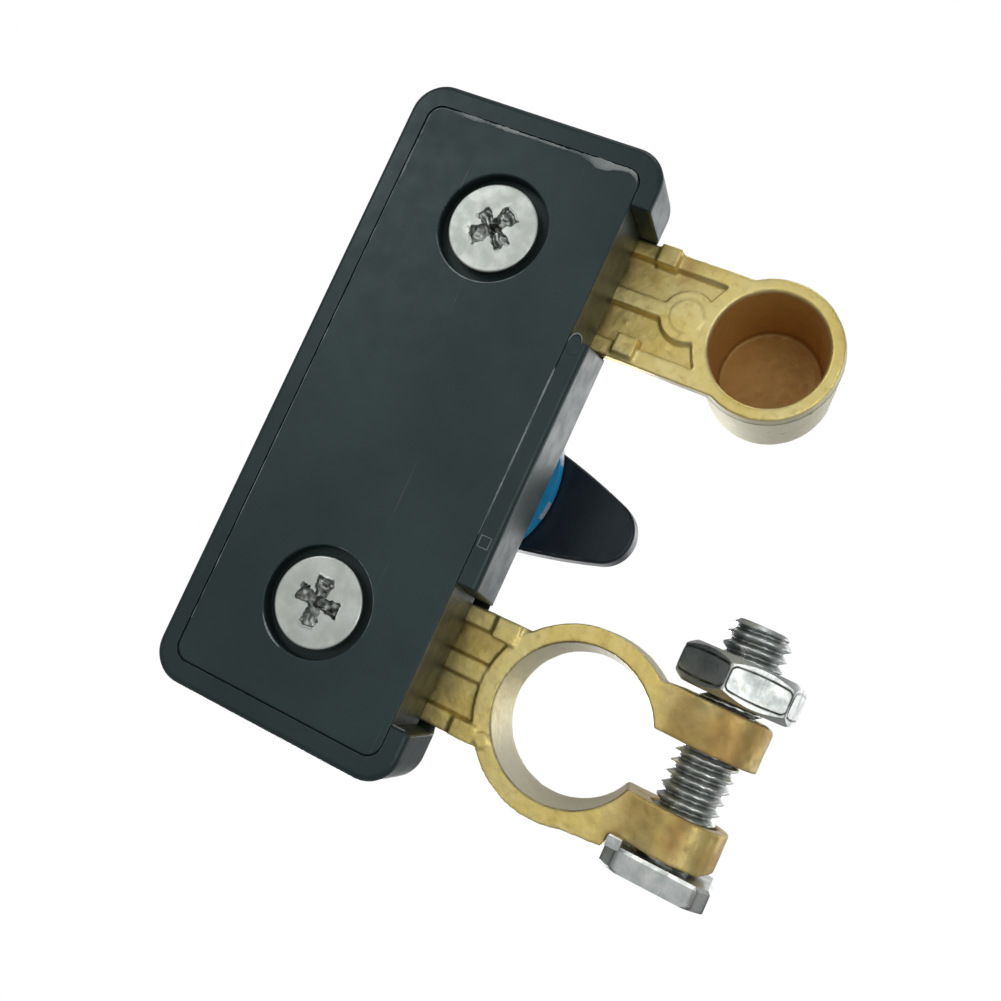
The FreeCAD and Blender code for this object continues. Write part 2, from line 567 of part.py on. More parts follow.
# ---- clamp bolt and nut --------------------------------------------------------------------------
def make_clamp_bolt():
    half = BOLT_HEAD_WIDTH / 2
    corner = half - BOLT_HEAD_CORNER
    outline = [(half, corner), (corner, half), (-corner, half), (-half, corner)]
    outline += [(-half, -corner), (-corner, -half), (corner, -half), (half, -corner)]
    points = [Vector(BOLT_HEAD_X[0], BOLT_Y + y, BOLT_Z + z) for y, z in outline]
    face = Part.Face(Part.makePolygon(points + points[:1]))
    head = face.extrude(Vector(BOLT_HEAD_X[1] - BOLT_HEAD_X[0], 0, 0))
    bevel_r = math.hypot(half, corner) - BOLT_HEAD_BEVEL
    head = head.common(end_bevel(bevel_r, BOLT_HEAD_BEVEL_SLOPE, BOLT_HEAD_X[0], 1))
    bevel_x = BOLT_TIP_X - BOLT_TIP_BEVEL
    shank = bar_along_x(BOLT_R, (BOLT_HEAD_X[1], bevel_x), BOLT_Y, BOLT_Z)
    tip = end_bevel(BOLT_R - BOLT_TIP_BEVEL, 1.0, BOLT_TIP_X, -1)
    tip = tip.common(bar_along_x(BOLT_R, (bevel_x, BOLT_TIP_X), BOLT_Y, BOLT_Z))
    lug = box((BOLT_HEAD_X[1] - 0.5, HEAD_LUG_TOP_X), HEAD_LUG_Y, HEAD_LUG_Z)
    return fuse(head, shank, tip, lug)


def end_bevel(radius, slope, x, way):
    """A wide cone about the bolt's axis. Its small end, at x, bevels the end of a head or a nut."""
    spread = 8.0
    centre = Vector(x, BOLT_Y, BOLT_Z)
    return Part.makeCone(radius, radius + spread, spread * slope, centre, ALONG_X * way)


def make_clamp_nut():
    corner_r = NUT_ACROSS_FLATS / math.sqrt(3)
    turns = [math.radians(60 * index) for index in range(6)]
    corners = [(BOLT_Y + corner_r * math.cos(a), BOLT_Z + corner_r * math.sin(a)) for a in turns]
    points = [Vector(NUT_X[0], y, z) for y, z in corners]
    nut = Part.Face(Part.makePolygon(points + points[:1])).extrude(Vector(NUT_X[1] - NUT_X[0], 0, 0))
    for x, way in ((NUT_X[0], 1), (NUT_X[1], -1)):
        nut = nut.common(end_bevel(corner_r - NUT_BEVEL, NUT_BEVEL_SLOPE, x, way))
    nut = nut.cut(bar_along_x(NUT_BORE_R, (NUT_X[0] - 1, NUT_X[1] + 1), BOLT_Y, BOLT_Z))
    return turned(nut, NUT_TURN_DEG, ALONG_X, Vector(0, BOLT_Y, BOLT_Z))


# ---- switch mechanism ----------------------------------------------------------------------------
def square_bar(width, zs, corner_r):
    half = width / 2
    return box((-half, half), (-half, half), zs).common(disc(corner_r, zs))


def make_spindle():
    pivot = disc(PIVOT_R, (PIVOT_END_Z, SQUARE_END_Z + 0.2))
    lower = square_bar(SQUARE, (SQUARE_END_Z, FLANGE_Z[0] + 0.2), SQUARE_CORNER_R)
    flange = disc(FLANGE_R, FLANGE_Z)
    tab_start = STOP_TAB_AT_DEG - STOP_TAB_HALF_DEG
    tab_end = STOP_TAB_AT_DEG + STOP_TAB_HALF_DEG
    tab = sector(FLANGE_R - 1, STOP_TAB_R, tab_start, tab_end, FLANGE_Z)
    upper = disc(SPINDLE_R, (FLANGE_Z[1] - 0.2, DRIVE_START_Z + 0.5))
    drive = square_bar(DRIVE_SQUARE, (DRIVE_START_Z, SPINDLE_TOP_Z), DRIVE_CORNER_R)
    body = fuse(pivot, lower, flange, tab, upper, drive)
    notch_at = FLANGE_R + BALL_R - NOTCH_DEPTH
    for index in range(4):
        angle = math.radians(90 * index)
        x = notch_at * math.cos(angle)
        y = notch_at * math.sin(angle)
        body = body.cut(disc(BALL_R + 0.08, (FLANGE_Z[0] - 1, FLANGE_Z[1] + 1), x, y))
    groove = disc(SPINDLE_R + 1, SEAL_GROOVE_Z).cut(disc(SPINDLE_R - 2 * SEAL_CORD_R, SEAL_GROOVE_Z))
    clip_z = (CLIP_Z[0] - 0.05, CLIP_Z[1] + 0.05)
    clip_groove = disc(SQUARE_CORNER_R + 1, clip_z).cut(disc(CLIP_GROOVE_R, clip_z))
    screw_hole = disc(LEVER_SCREW_R + 0.05, (LEVER_SCREW_END_Z - 0.7, SPINDLE_TOP_Z + 1))
    return body.cut(groove).cut(clip_groove).cut(screw_hole)


def make_spindle_seal():
    centre_r = SPINDLE_R + 0.03 - SEAL_CORD_R
    middle_z = sum(SEAL_GROOVE_Z) / 2
    return Part.makeTorus(centre_r, SEAL_CORD_R, Vector(0, 0, middle_z), UP)


def make_thrust_washer():
    heights = (FLANGE_Z[1] + 0.05, CEILING_Z - 0.05)
    return disc(FLANGE_R - 0.3, heights).cut(disc(SPINDLE_R + 0.1, (heights[0] - 1, heights[1] + 1)))


def make_retaining_clip():
    clip = disc(CLIP_R, CLIP_Z).cut(disc(CLIP_GROOVE_R + 0.06, CLIP_Z))
    return clip.cut(box((-CLIP_MOUTH_HALF, CLIP_MOUTH_HALF), (-CLIP_R, 0), CLIP_Z))


def make_spring_seat():
    """Moulded cup, keyed on the square, that the contact spring stands in."""
    rim_z = SEAT_Z[1] + SEAT_RIM
    cup = disc(SEAT_R, (SEAT_Z[0], rim_z)).cut(disc(SEAT_R - SEAT_WALL, (SEAT_Z[1], rim_z + 1)))
    half = SQUARE / 2 + 0.08
    return cup.cut(box((-half, half), (-half, half), (SEAT_Z[0] - 1, rim_z)))


def make_contact_spring():
    inset = CONTACT_WIRE_R + SPRING_GAP
    length = BAR_Z[0] - SEAT_Z[1] - 2 * inset
    spring = coil(CONTACT_SPRING_R, CONTACT_WIRE_R, length, CONTACT_COILS)
    spring.translate(Vector(0, 0, SEAT_Z[1] + inset))
    return spring


def make_contact_bar():
    """Copper bar on the spindle's square. It lies along Y while the switch is off."""
    wings = box((-BAR_WIDTH / 2, BAR_WIDTH / 2), (-BAR_REACH, BAR_REACH), BAR_Z)
    wings = wings.common(disc(BAR_REACH, BAR_Z))
    half = SQUARE / 2 + 0.1
    hole = box((-half, half), (-half, half), (BAR_Z[0] - 1, BAR_Z[1] + 1))
    return fuse(wings, disc(BAR_HUB_R, BAR_Z)).cut(hole)


def make_contact_tips():
    tips = []
    crown_z = TIP_TOP_Z - TIP_CROWN
    for side in (1, -1):
        base = disc(TIP_R, (BAR_Z[1], crown_z), 0, side * CONTACT_AT)
        crown = taper(TIP_R, TIP_R - TIP_BEVEL, (crown_z, TIP_TOP_Z), 0, side * CONTACT_AT)
        tips.append(fuse(base, crown))
    return Part.makeCompound(tips)


def make_detent_ball(side):
    """A ball held just clear of the spindle's flange. It springs in when a notch comes round."""
    return Part.makeSphere(BALL_R, Vector(side * (FLANGE_R + BALL_R + BALL_GAP), 0, DETENT_Z))


def make_detent_spring(side):
    inset = DETENT_WIRE_R + SPRING_GAP
    start = FLANGE_R + 2 * BALL_R + BALL_GAP + inset
    length = BALL_POCKET_END - inset - start
    spring = coil(DETENT_SPRING_R, DETENT_WIRE_R, length, DETENT_COILS)
    spring.Placement = Placement(Vector(side * start, 0, DETENT_Z), Rotation(UP, ALONG_X * side))
    return spring


# ---- dial and lever ------------------------------------------------------------------------------
def make_dial():
    drum = disc(DIAL_R, (HOUSING_TOP_Z, DIAL_TOP_Z))
    top_edge = [e for e in drum.Edges if e.BoundBox.ZMin > DIAL_TOP_Z - 0.01]
    drum = drum.makeFillet(DIAL_EDGE_R, top_edge)
    drum = drum.cut(disc(DIAL_R - DIAL_WALL, (HOUSING_TOP_Z - 1, DIAL_TOP_Z - DIAL_PLATE)))
    pegs = [disc(DIAL_HOLE_R + DIAL_HUB_WALL, (HOUSING_TOP_Z, DIAL_TOP_Z - 1))]
    for x, y in peg_places():
        pegs.append(disc(PEG_R, (PEG_END_Z, DIAL_TOP_Z - 1), x, y))
    return fuse(drum, *pegs).cut(disc(DIAL_HOLE_R, (HOUSING_TOP_Z - 1, DIAL_TOP_Z + 1)))


def lever_outline():
    """The lever's plan: a round hub, convex flanks and a round nose."""
    nose_y = LEVER_REACH - LEVER_NOSE_R
    lean = math.radians(LEVER_NOSE_LEAN_DEG)
    shoulder = (LEVER_NOSE_R * math.cos(lean), nose_y + LEVER_NOSE_R * math.sin(lean))
    right = [Vector(x, y, LEVER_Z[0]) for x, y in (LEVER_HIP, LEVER_FLANK, shoulder)]
    left = [Vector(-v.x, v.y, v.z) for v in reversed(right)]
    nose = Vector(0, LEVER_REACH, LEVER_Z[0])
    tail = Vector(0, -LEVER_HUB_R, LEVER_Z[0])
    edges = [Part.Arc(*right).toShape(), Part.Arc(right[2], nose, left[0]).toShape()]
    edges += [Part.Arc(*left).toShape(), Part.Arc(left[2], tail, right[0]).toShape()]
    return Part.Wire(edges)


def make_lever():
    body = Part.Face(lever_outline()).extrude(Vector(0, 0, LEVER_Z[1] - LEVER_Z[0]))
    side_x = LEVER_HUB_R + 5
    slope = [(y, LEVER_Z[1] - fall) for y, fall in LEVER_TOP_SLOPE]
    slope += [(y, LEVER_Z[1] + 6) for y in (LEVER_TOP_SLOPE[-1][0], LEVER_TOP_SLOPE[0][0])]
    points = [Vector(-side_x, y, z) for y, z in slope]
    above = Part.Face(Part.makePolygon(points + points[:1])).extrude(Vector(2 * side_x, 0, 0))
    body = body.cut(above)
    upper = [e for e in body.Edges if e.BoundBox.ZMin > LEVER_Z[0] + 2 and e.BoundBox.YLength > 0.5]
    body = body.makeFillet(LEVER_TOP_EDGE_R, upper)
    lower = [e for e in body.Edges if e.BoundBox.ZMax < LEVER_Z[0] + 0.01]
    body = body.makeFillet(LEVER_FOOT_EDGE_R, lower)
    body.translate(Vector(LEVER_OFFSET_X, 0, 0))
    body = turned(body, LEVER_SEAT_DEG)
    half = DRIVE_SQUARE / 2 + LEVER_SQUARE_GAP
    body = body.cut(box((-half, half), (-half, half), (LEVER_Z[0] - 1, SPINDLE_TOP_Z + 0.1)))
    body = body.cut(disc(LEVER_SCREW_R + 0.3, (SPINDLE_TOP_Z, LEVER_Z[1] + 1)))
    return body.cut(disc(CAP_R + 0.05, (LEVER_SCREW_SEAT_Z, LEVER_Z[1] + 1)))


def make_lever_screw():
    head_top = LEVER_SCREW_SEAT_Z + LEVER_SCREW_HEAD_HEIGHT
    head = disc(LEVER_SCREW_HEAD_R, (LEVER_SCREW_SEAT_Z, head_top))
    rim = [e for e in head.Edges if e.BoundBox.ZMin > head_top - 0.01]
    head = head.makeFillet(LEVER_SCREW_EDGE_R, rim)
    shank = disc(LEVER_SCREW_R, (LEVER_SCREW_END_Z, LEVER_SCREW_SEAT_Z + 0.2))
    recess = cross_recess(LEVER_RECESS_REACH, LEVER_RECESS_WIDTH, LEVER_RECESS_DEPTH)
    recess = turned(recess, 180, ALONG_X)
    recess.translate(Vector(0, 0, head_top))
    return fuse(head, shank).cut(recess)


def make_lever_cap():
    top_z = LEVER_Z[1] - CAP_SUNK
    plug = disc(CAP_R, (top_z - CAP_THICKNESS, top_z))
    rim = [e for e in plug.Edges if e.BoundBox.ZMin > top_z - 0.01]
    return plug.makeFillet(CAP_EDGE_R, rim)


PARTS = {
    "housing": make_housing,
    "back_cover": make_back_cover,
    "cover_screws": make_cover_screws,
    "threaded_inserts": make_threaded_inserts,
    "post_terminal": make_post_terminal,
    "clamp_terminal": make_clamp_terminal,
    "fixed_contacts": make_fixed_contacts,
    "clamp_bolt": make_clamp_bolt,
    "clamp_nut": make_clamp_nut,
    "spindle": make_spindle,
    "spindle_seal": make_spindle_seal,
    "thrust_washer": make_thrust_washer,
    "retaining_clip": make_retaining_clip,
    "spring_seat": make_spring_seat,
    "contact_spring": make_contact_spring,
    "contact_bar": make_contact_bar,
    "contact_tips": make_contact_tips,
    "detent_ball_right": lambda: make_detent_ball(1),
    "detent_ball_left": lambda: make_detent_ball(-1),
    "detent_spring_right": lambda: make_detent_spring(1),
    "detent_spring_left": lambda: make_detent_spring(-1),
    "dial": make_dial,
    "lever": make_lever,
    "lever_screw": make_lever_screw,
    "lever_cap": make_lever_cap,
}

os.makedirs("parts", exist_ok=True)
for name, make in PARTS.items():
    shape = make()
    if not shape.isValid():
        raise RuntimeError(name + " is not a valid shape")
    shape.exportStep("parts/" + name + ".step")
    print(name, len(shape.Solids), round(shape.Volume, 1))
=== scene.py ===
import json
import math
import random

import bpy
import numpy as np
from mathutils import Matrix, Vector


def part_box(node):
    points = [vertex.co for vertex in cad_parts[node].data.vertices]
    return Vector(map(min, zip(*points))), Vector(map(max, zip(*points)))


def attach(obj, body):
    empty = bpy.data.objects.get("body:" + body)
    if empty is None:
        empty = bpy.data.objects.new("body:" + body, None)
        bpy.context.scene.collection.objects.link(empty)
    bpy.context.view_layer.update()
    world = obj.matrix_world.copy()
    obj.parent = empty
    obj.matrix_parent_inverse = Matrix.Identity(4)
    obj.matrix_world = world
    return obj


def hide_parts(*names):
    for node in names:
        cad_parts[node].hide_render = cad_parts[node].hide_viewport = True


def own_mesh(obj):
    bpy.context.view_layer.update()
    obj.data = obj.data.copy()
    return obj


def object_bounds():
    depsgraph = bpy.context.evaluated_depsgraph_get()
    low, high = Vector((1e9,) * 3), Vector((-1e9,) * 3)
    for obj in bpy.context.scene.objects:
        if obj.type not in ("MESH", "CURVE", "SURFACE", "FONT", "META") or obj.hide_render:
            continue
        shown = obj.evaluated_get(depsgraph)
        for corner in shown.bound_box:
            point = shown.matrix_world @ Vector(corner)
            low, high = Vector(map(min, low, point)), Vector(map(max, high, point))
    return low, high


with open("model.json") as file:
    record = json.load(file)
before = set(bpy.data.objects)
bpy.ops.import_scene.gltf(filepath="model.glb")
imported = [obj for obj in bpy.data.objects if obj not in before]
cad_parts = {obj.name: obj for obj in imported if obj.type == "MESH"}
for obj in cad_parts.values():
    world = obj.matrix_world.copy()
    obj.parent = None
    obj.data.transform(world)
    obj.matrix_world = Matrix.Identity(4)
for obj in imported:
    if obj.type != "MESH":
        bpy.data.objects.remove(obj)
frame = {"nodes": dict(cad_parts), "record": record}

MM = 0.001
NODES = frame["nodes"]
CAD_LOW, CAD_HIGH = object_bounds()


# ---- shapes in numbers ---------------------------------------------------------------------------
def box_mm(node):
    """A CAD node's lowest and highest corners, in millimetres."""
    low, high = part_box(node)
    return Vector(low) / MM, Vector(high) / MM


def smooth_step(values, start, end):
    """0 up to start, 1 from end on, and an even S between them."""
    t = np.clip((values - start) / (end - start), 0.0, 1.0)
    return t * t * (3.0 - 2.0 * t)


def lattice_noise(x, y, cell, seed):
    """Smooth noise from -1 to 1 over the plane, with one random value at each lattice point."""
    generator = np.random.default_rng(seed)
    table = generator.uniform(-1.0, 1.0, (64, 64))
    u = np.asarray(x, float) / cell
    v = np.asarray(y, float) / cell
    column = np.floor(u).astype(int)
    row = np.floor(v).astype(int)
    fu = smooth_step(u - column, 0.0, 1.0)
    fv = smooth_step(v - row, 0.0, 1.0)
    a = table[row % 64, column % 64]
    b = table[row % 64, (column + 1) % 64]
    c = table[(row + 1) % 64, column % 64]
    d = table[(row + 1) % 64, (column + 1) % 64]
    return (a * (1 - fu) + b * fu) * (1 - fv) + (c * (1 - fu) + d * fu) * fv


def line_noise(x, cell, seed):
    return lattice_noise(x, np.zeros_like(x), cell, seed)


def full_turn(count):
    """Directions all the way round, in radians."""
    return np.linspace(0, 2 * math.pi, count, endpoint=False)


def points_at(x, y, z):
    """Points with these coordinates. A coordinate can be one number for all of them."""
    return np.stack(np.broadcast_arrays(x, y, z), axis=1)


# ---- meshes --------------------------------------------------------------------------------------
def new_object(name, data):
    """A new object in the scene."""
    made = bpy.data.objects.new(name, data)
    bpy.context.scene.collection.objects.link(made)
    return made


def add_piece(name, vertices_mm, faces, body, crease_deg=40.0):
    """A new mesh object from millimetre coordinates, smooth except at sharp edges, riding on a body."""
    mesh = bpy.data.meshes.new(name)
    mesh.from_pydata((np.asarray(vertices_mm, float) * MM).tolist(), [], faces)
    mesh.validate()
    mesh.update()
    piece = new_object(name, mesh)
    shade(mesh, crease_deg)
    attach(piece, body)
    return piece


def shade(mesh, crease_deg):
    """Smooth shading, broken at edges sharper than crease_deg. 180 leaves no edge sharp."""
    mesh.shade_smooth()
    if crease_deg < 180.0:
        mesh.set_sharp_from_angle(angle=math.radians(crease_deg))


def skin_faces(ring_count, points, first=0, closed=False):
    """Quads between successive rings that have the same number of points."""
    faces = []
    pairs = [(k, k + 1) for k in range(ring_count - 1)]
    if closed:
        pairs.append((ring_count - 1, 0))
    for low, high in pairs:
        a = first + low * points
        b = first + high * points
        for i in range(points):
            j = (i + 1) % points
            faces.append((a + i, a + j, b + j, b + i))
    return faces


def fan(ring_start, points, centre, flip):
    """Triangles from one ring to a centre point."""
    triangles = []
    for i in range(points):
        j = (i + 1) % points
        corners = (ring_start + i, ring_start + j, centre)
        triangles.append(corners[::-1] if flip else corners)
    return triangles


def closed_skin(rings, start_point, end_point):
    """Vertices and faces of a closed solid over rings, with a point at each end."""
    points = len(rings[0])
    vertices = np.concatenate([np.asarray(ring, float) for ring in rings] + [[start_point], [end_point]])
    count = len(rings) * points
    faces = skin_faces(len(rings), points)
    faces += fan(0, points, count, True)
    faces += fan(count - points, points, count + 1, False)
    return vertices, faces


def finish_piece(piece, slot, *replaced, look=None):
    """Gives a piece the material of one of the record's slots, or another look, and hides the nodes it stands
    for.
    """
    piece.data.materials.clear()
    piece.data.materials.append(MATERIALS[look or slot])
    if replaced:
        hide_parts(*replaced)


def set_values(piece, name, values):
    """Stores one number for each vertex, for a material to read."""
    attribute = piece.data.attributes.new(name, "FLOAT", "POINT")
    attribute.data.foreach_set("value", np.asarray(values, np.float32))


def softened_copy(node, name, body):
    """A cast piece: the node's solid, remeshed evenly, its edges eased and its skin made uneven."""
    piece = new_object(name, NODES[node].data.copy())
    piece.data.materials.clear()
    remesh = piece.modifiers.new("even_mesh", "REMESH")
    remesh.mode = "VOXEL"
    remesh.voxel_size = VOXEL_MM * MM
    ease = piece.modifiers.new("ease_edges", "SMOOTH")
    ease.factor = 0.5
    ease.iterations = SMOOTH_STEPS
    for cell_mm, height_mm in GRAIN_MM:
        texture = bpy.data.textures.new(name + "_skin", "CLOUDS")
        texture.noise_scale = cell_mm * MM
        texture.noise_depth = 1
        skin = piece.modifiers.new("uneven_skin", "DISPLACE")
        skin.texture = texture
        skin.texture_coords = "LOCAL"
        skin.strength = height_mm * MM
        skin.mid_level = 0.5
    graph = bpy.context.evaluated_depsgraph_get()
    result = bpy.data.meshes.new_from_object(piece.evaluated_get(graph), depsgraph=graph)
    piece.modifiers.clear()
    piece.data = result
    shade(result, 180.0)
    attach(piece, body)
    return piece


def skin_points(mesh):
    """Every vertex's place, in metres, and its normal."""
    places = np.empty(len(mesh.vertices) * 3)
    mesh.vertices.foreach_get("co", places)
    normals = np.empty(len(mesh.vertices) * 3)
    mesh.vertex_normals.foreach_get("vector", normals)
    return places.reshape(-1, 3), normals.reshape(-1, 3)


def dent(piece, seed, count, radii_mm, depths_mm):
    """Small round dents at random places on a piece's skin. A depth below 0 gives a bump."""
    draw = random.Random(seed)
    mesh = piece.data
    places, normals = skin_points(mesh)
    moved = places.copy()
    for _ in range(count):
        centre = places[draw.randrange(len(places))]
        radius = draw.uniform(*radii_mm) * MM
        depth = draw.uniform(*depths_mm) * MM
        share = 1.0 - smooth_step(np.linalg.norm(places - centre, axis=1), 0.2 * radius, radius)
        moved -= normals * (share * depth)[:, None]
    mesh.vertices.foreach_set("co", moved.ravel())
    mesh.update()


# ---- materials -----------------------------------------------------------------------------------
SPECULAR = 0.5
PLASTIC_SHEEN = (0.82, 1.0, 1.0)
# painted shade for the cover's recesses: its colour, how far in it fades, and its weaker sheen
RECESS_SHADE_COLOUR = (0.014, 0.022, 0.021)
RECESS_SHADE_FADE_MM = 0.7
RECESS_SHADE_SPECULAR = 0.40
WALL_LIGHT_ROUGHNESS = 0.62
BRASS_METALLIC = 0.92
CHALKY_LOSS = 0.6            # how much less metallic the ruddy skin and the walls painted pale as light are


class NodeTree:
    """Short ways to add and join shader nodes."""

    def __init__(self, owner):
        owner.use_nodes = True
        self.tree = owner.node_tree
        self.tree.nodes.clear()

    def add(self, kind, inputs=None, **settings):
        node = self.tree.nodes.new("ShaderNode" + kind)
        for key, value in settings.items():
            setattr(node, key, value)
        for key, value in (inputs or {}).items():
            self.feed(node.inputs[key], value)
        return node

    def feed(self, socket, value):
        if isinstance(value, bpy.types.NodeSocket):
            self.tree.links.new(value, socket)
        else:
            socket.default_value = value

    def math(self, operation, a, b=0.0):
        return self.add("Math", {0: a, 1: b}, operation=operation).outputs[0]

    def band(self, value, start, end, low=0.0, high=1.0):
        """The value taken from the range start..end to low..high, smoothly and clamped."""
        inputs = {"Value": value, "From Min": start, "From Max": end, "To Min": low, "To Max": high}
        return self.add("MapRange", inputs, interpolation_type="SMOOTHSTEP").outputs["Result"]

    def mix(self, factor, a, b):
        node = self.add("Mix", data_type="RGBA")
        self.feed(node.inputs[0], factor)
        self.feed(node.inputs[6], a if isinstance(a, bpy.types.NodeSocket) else (*a, 1.0))
        self.feed(node.inputs[7], b if isinstance(b, bpy.types.NodeSocket) else (*b, 1.0))
        return node.outputs[2]


class Surface(NodeTree):
    """A material in the making. Its textures read the object's own coordinates, in millimetres."""

    def __init__(self, name):
        self.material = bpy.data.materials.new(name)
        super().__init__(self.material)
        self.shader = self.add("BsdfPrincipled")
        output = self.add("OutputMaterial")
        self.tree.links.new(self.shader.outputs["BSDF"], output.inputs["Surface"])
        place = self.add("TexCoord").outputs["Object"]
        self.mm = self.add("VectorMath", {0: place, 3: 1.0 / MM}, operation="SCALE").outputs[0]
        self.bump_normal = None

    def noise(self, cell_mm, detail=3.0, roughness=0.5, distortion=0.0, stretch=None, turn_deg=0.0):
        """Noise whose features are about cell_mm wide, if asked stretched by a factor for each axis."""
        place = self.mm
        if stretch:
            turn = (0.0, 0.0, math.radians(turn_deg))
            place = self.add("Mapping", {0: place, 2: turn, 3: stretch}).outputs[0]
        inputs = {"Vector": place, "Scale": 1.0 / cell_mm, "Detail": detail, "Roughness": roughness}
        inputs["Distortion"] = distortion
        return self.add("TexNoise", inputs).outputs["Fac"]

    def height(self, value, depth_mm):
        """Adds bumps: the value, from 0 to 1, stands for a height of up to depth_mm."""
        inputs = {"Height": value, "Distance": depth_mm * MM, "Strength": 1.0}
        if self.bump_normal is not None:
            inputs["Normal"] = self.bump_normal
        self.bump_normal = self.add("Bump", inputs).outputs["Normal"]

    def hollows(self, reach_mm):
        """1 in corners and recesses, 0 on open faces."""
        shade_node = self.add("AmbientOcclusion", {"Distance": reach_mm * MM}, samples=8, only_local=True)
        return self.math("SUBTRACT", 1.0, shade_node.outputs["AO"])

    def edges(self, radius_mm):
        """1 along edges, 0 on faces."""
        rounded = self.add("Bevel", {"Radius": radius_mm * MM}, samples=4).outputs[0]
        true = self.add("NewGeometry").outputs["Normal"]
        facing = self.add("VectorMath", {0: rounded, 1: true}, operation="DOT_PRODUCT").outputs["Value"]
        return self.band(facing, 0.995, 0.93, 0.0, 1.0)

    def attribute(self, name):
        return self.add("Attribute", attribute_name=name).outputs["Fac"]

    def finish(self, colour, roughness, metallic=0.0, specular=SPECULAR):
        self.feed(self.shader.inputs["Base Color"], colour)
        self.feed(self.shader.inputs["Roughness"], roughness)
        self.feed(self.shader.inputs["Metallic"], metallic)
        self.feed(self.shader.inputs["Specular IOR Level"], specular)
        if self.bump_normal is not None:
            self.feed(self.shader.inputs["Normal"], self.bump_normal)
        return self.material


def scratches(surface, cell_mm, turns_deg, cut):
    """1 on thin straight scratches that run along each of the directions."""
    found = None
    for turn in turns_deg:
        lines = surface.noise(cell_mm, detail=2.0, stretch=(0.06, 4.0, 1.0), turn_deg=turn)
        patches = surface.noise(cell_mm * 7, detail=3.0)
        lines = surface.band(lines, cut, cut + 0.05)
        lines = surface.math("MULTIPLY", lines, surface.band(patches, 0.52, 0.66))
        found = lines if found is None else surface.math("MAXIMUM", found, lines)
    return found


def moulded_plastic(name, dark, light, roughness, scratch_share, wear_and_highlight_colour, dark_from_mm=None):
    """Black moulded plastic, scratched on its level faces, lighter on its edges as wear and as a painted
    highlight, and painted darker, as shade, further in than dark_from_mm.
    """
    s = Surface(name)
    clouds = s.noise(20.0, detail=3.0)
    smudges = s.noise(3.0, detail=5.0, roughness=0.6)
    upward = s.add("SeparateXYZ", {0: s.add("NewGeometry").outputs["Normal"]}).outputs[2]
    level = s.band(s.math("ABSOLUTE", upward), 0.6, 0.9)
    lines = s.math("MULTIPLY", scratches(s, 1.6, (8.0, -24.0, 61.0), 0.69), level)
    # edges painted lighter: partly wear, partly a painted highlight along the edges
    edges = s.math("MULTIPLY", s.edges(0.25), s.band(s.noise(0.8), 0.4, 0.62))
    colour = s.mix(s.band(clouds, 0.35, 0.65), dark, light)
    colour = s.mix(s.math("MULTIPLY", lines, scratch_share), colour, wear_and_highlight_colour)
    colour = s.mix(s.math("MULTIPLY", edges, 0.35), colour, wear_and_highlight_colour)
    gloss = s.band(smudges, 0.3, 0.7, roughness - 0.04, roughness + 0.07)
    s.height(s.noise(0.35, detail=2.0), 0.010)
    s.height(lines, -0.010)
    s.feed(s.shader.inputs["Specular Tint"], (*PLASTIC_SHEEN, 1.0))
    if dark_from_mm is None:
        return s.finish(colour, gloss)
    # painted shade: faces further in than dark_from_mm, the screw holes' walls and the cover's sides, turn
    # dark and lose sheen
    rise = s.add("SeparateXYZ", {0: s.mm}).outputs[2]
    shade_end = dark_from_mm + RECESS_SHADE_FADE_MM
    colour = s.mix(s.band(rise, dark_from_mm, shade_end), colour, RECESS_SHADE_COLOUR)
    return s.finish(colour, gloss, specular=s.band(rise, dark_from_mm, shade_end, SPECULAR, RECESS_SHADE_SPECULAR))


def cast_brass(name):
    """Cast brass: yellow, brown in the pits, and, where its mesh says so, ruddy, pale where light is painted
    on its walls, or dark with grime and painted shade.
    """
    s = Surface(name)
    tone = s.noise(8.0, detail=5.0, roughness=0.6)
    mottle = s.noise(1.3, detail=6.0, roughness=0.65, distortion=0.6)
    colour = s.mix(s.band(tone, 0.36, 0.62), (0.88, 0.70, 0.23), (0.94, 0.80, 0.35))
    colour = s.mix(s.band(mottle, 0.50, 0.78, 0.0, 0.4), colour, (0.52, 0.36, 0.12))
    # painted light: upright walls turn pale cream
    colour = s.mix(s.attribute("wall_light"), colour, (0.70, 0.66, 0.50))
    colour = s.mix(s.attribute("ruddy"), colour, (0.60, 0.345, 0.095))
    tarnish = s.band(s.hollows(1.6), 0.4, 1.0, 0.0, 0.42)
    tarnish = s.math("MULTIPLY", tarnish, s.band(s.noise(2.5, detail=4.0), 0.3, 0.6, 0.3, 1.0))
    tarnish = s.math("MULTIPLY", tarnish, s.math("SUBTRACT", 1.0, s.attribute("ruddy")))
    colour = s.mix(tarnish, colour, (0.20, 0.14, 0.045))
    # dark where the mesh holds grime, and painted shade near the housing
    colour = s.mix(s.attribute("grime_and_shade"), colour, (0.075, 0.062, 0.028))
    s.height(s.noise(0.9, detail=5.0, roughness=0.6), 0.05)
    s.height(s.noise(0.22, detail=3.0), 0.012)
    gloss = s.band(mottle, 0.3, 0.75, 0.36, 0.55)
    gloss = s.math("MAXIMUM", gloss, s.math("MULTIPLY", WALL_LIGHT_ROUGHNESS, s.attribute("wall_light")))
    chalky = s.math("MAXIMUM", s.attribute("ruddy"), s.attribute("wall_light"))
    metallic = s.math("SUBTRACT", BRASS_METALLIC, s.math("MULTIPLY", CHALKY_LOSS, chalky))
    return s.finish(colour, gloss, metallic=metallic)


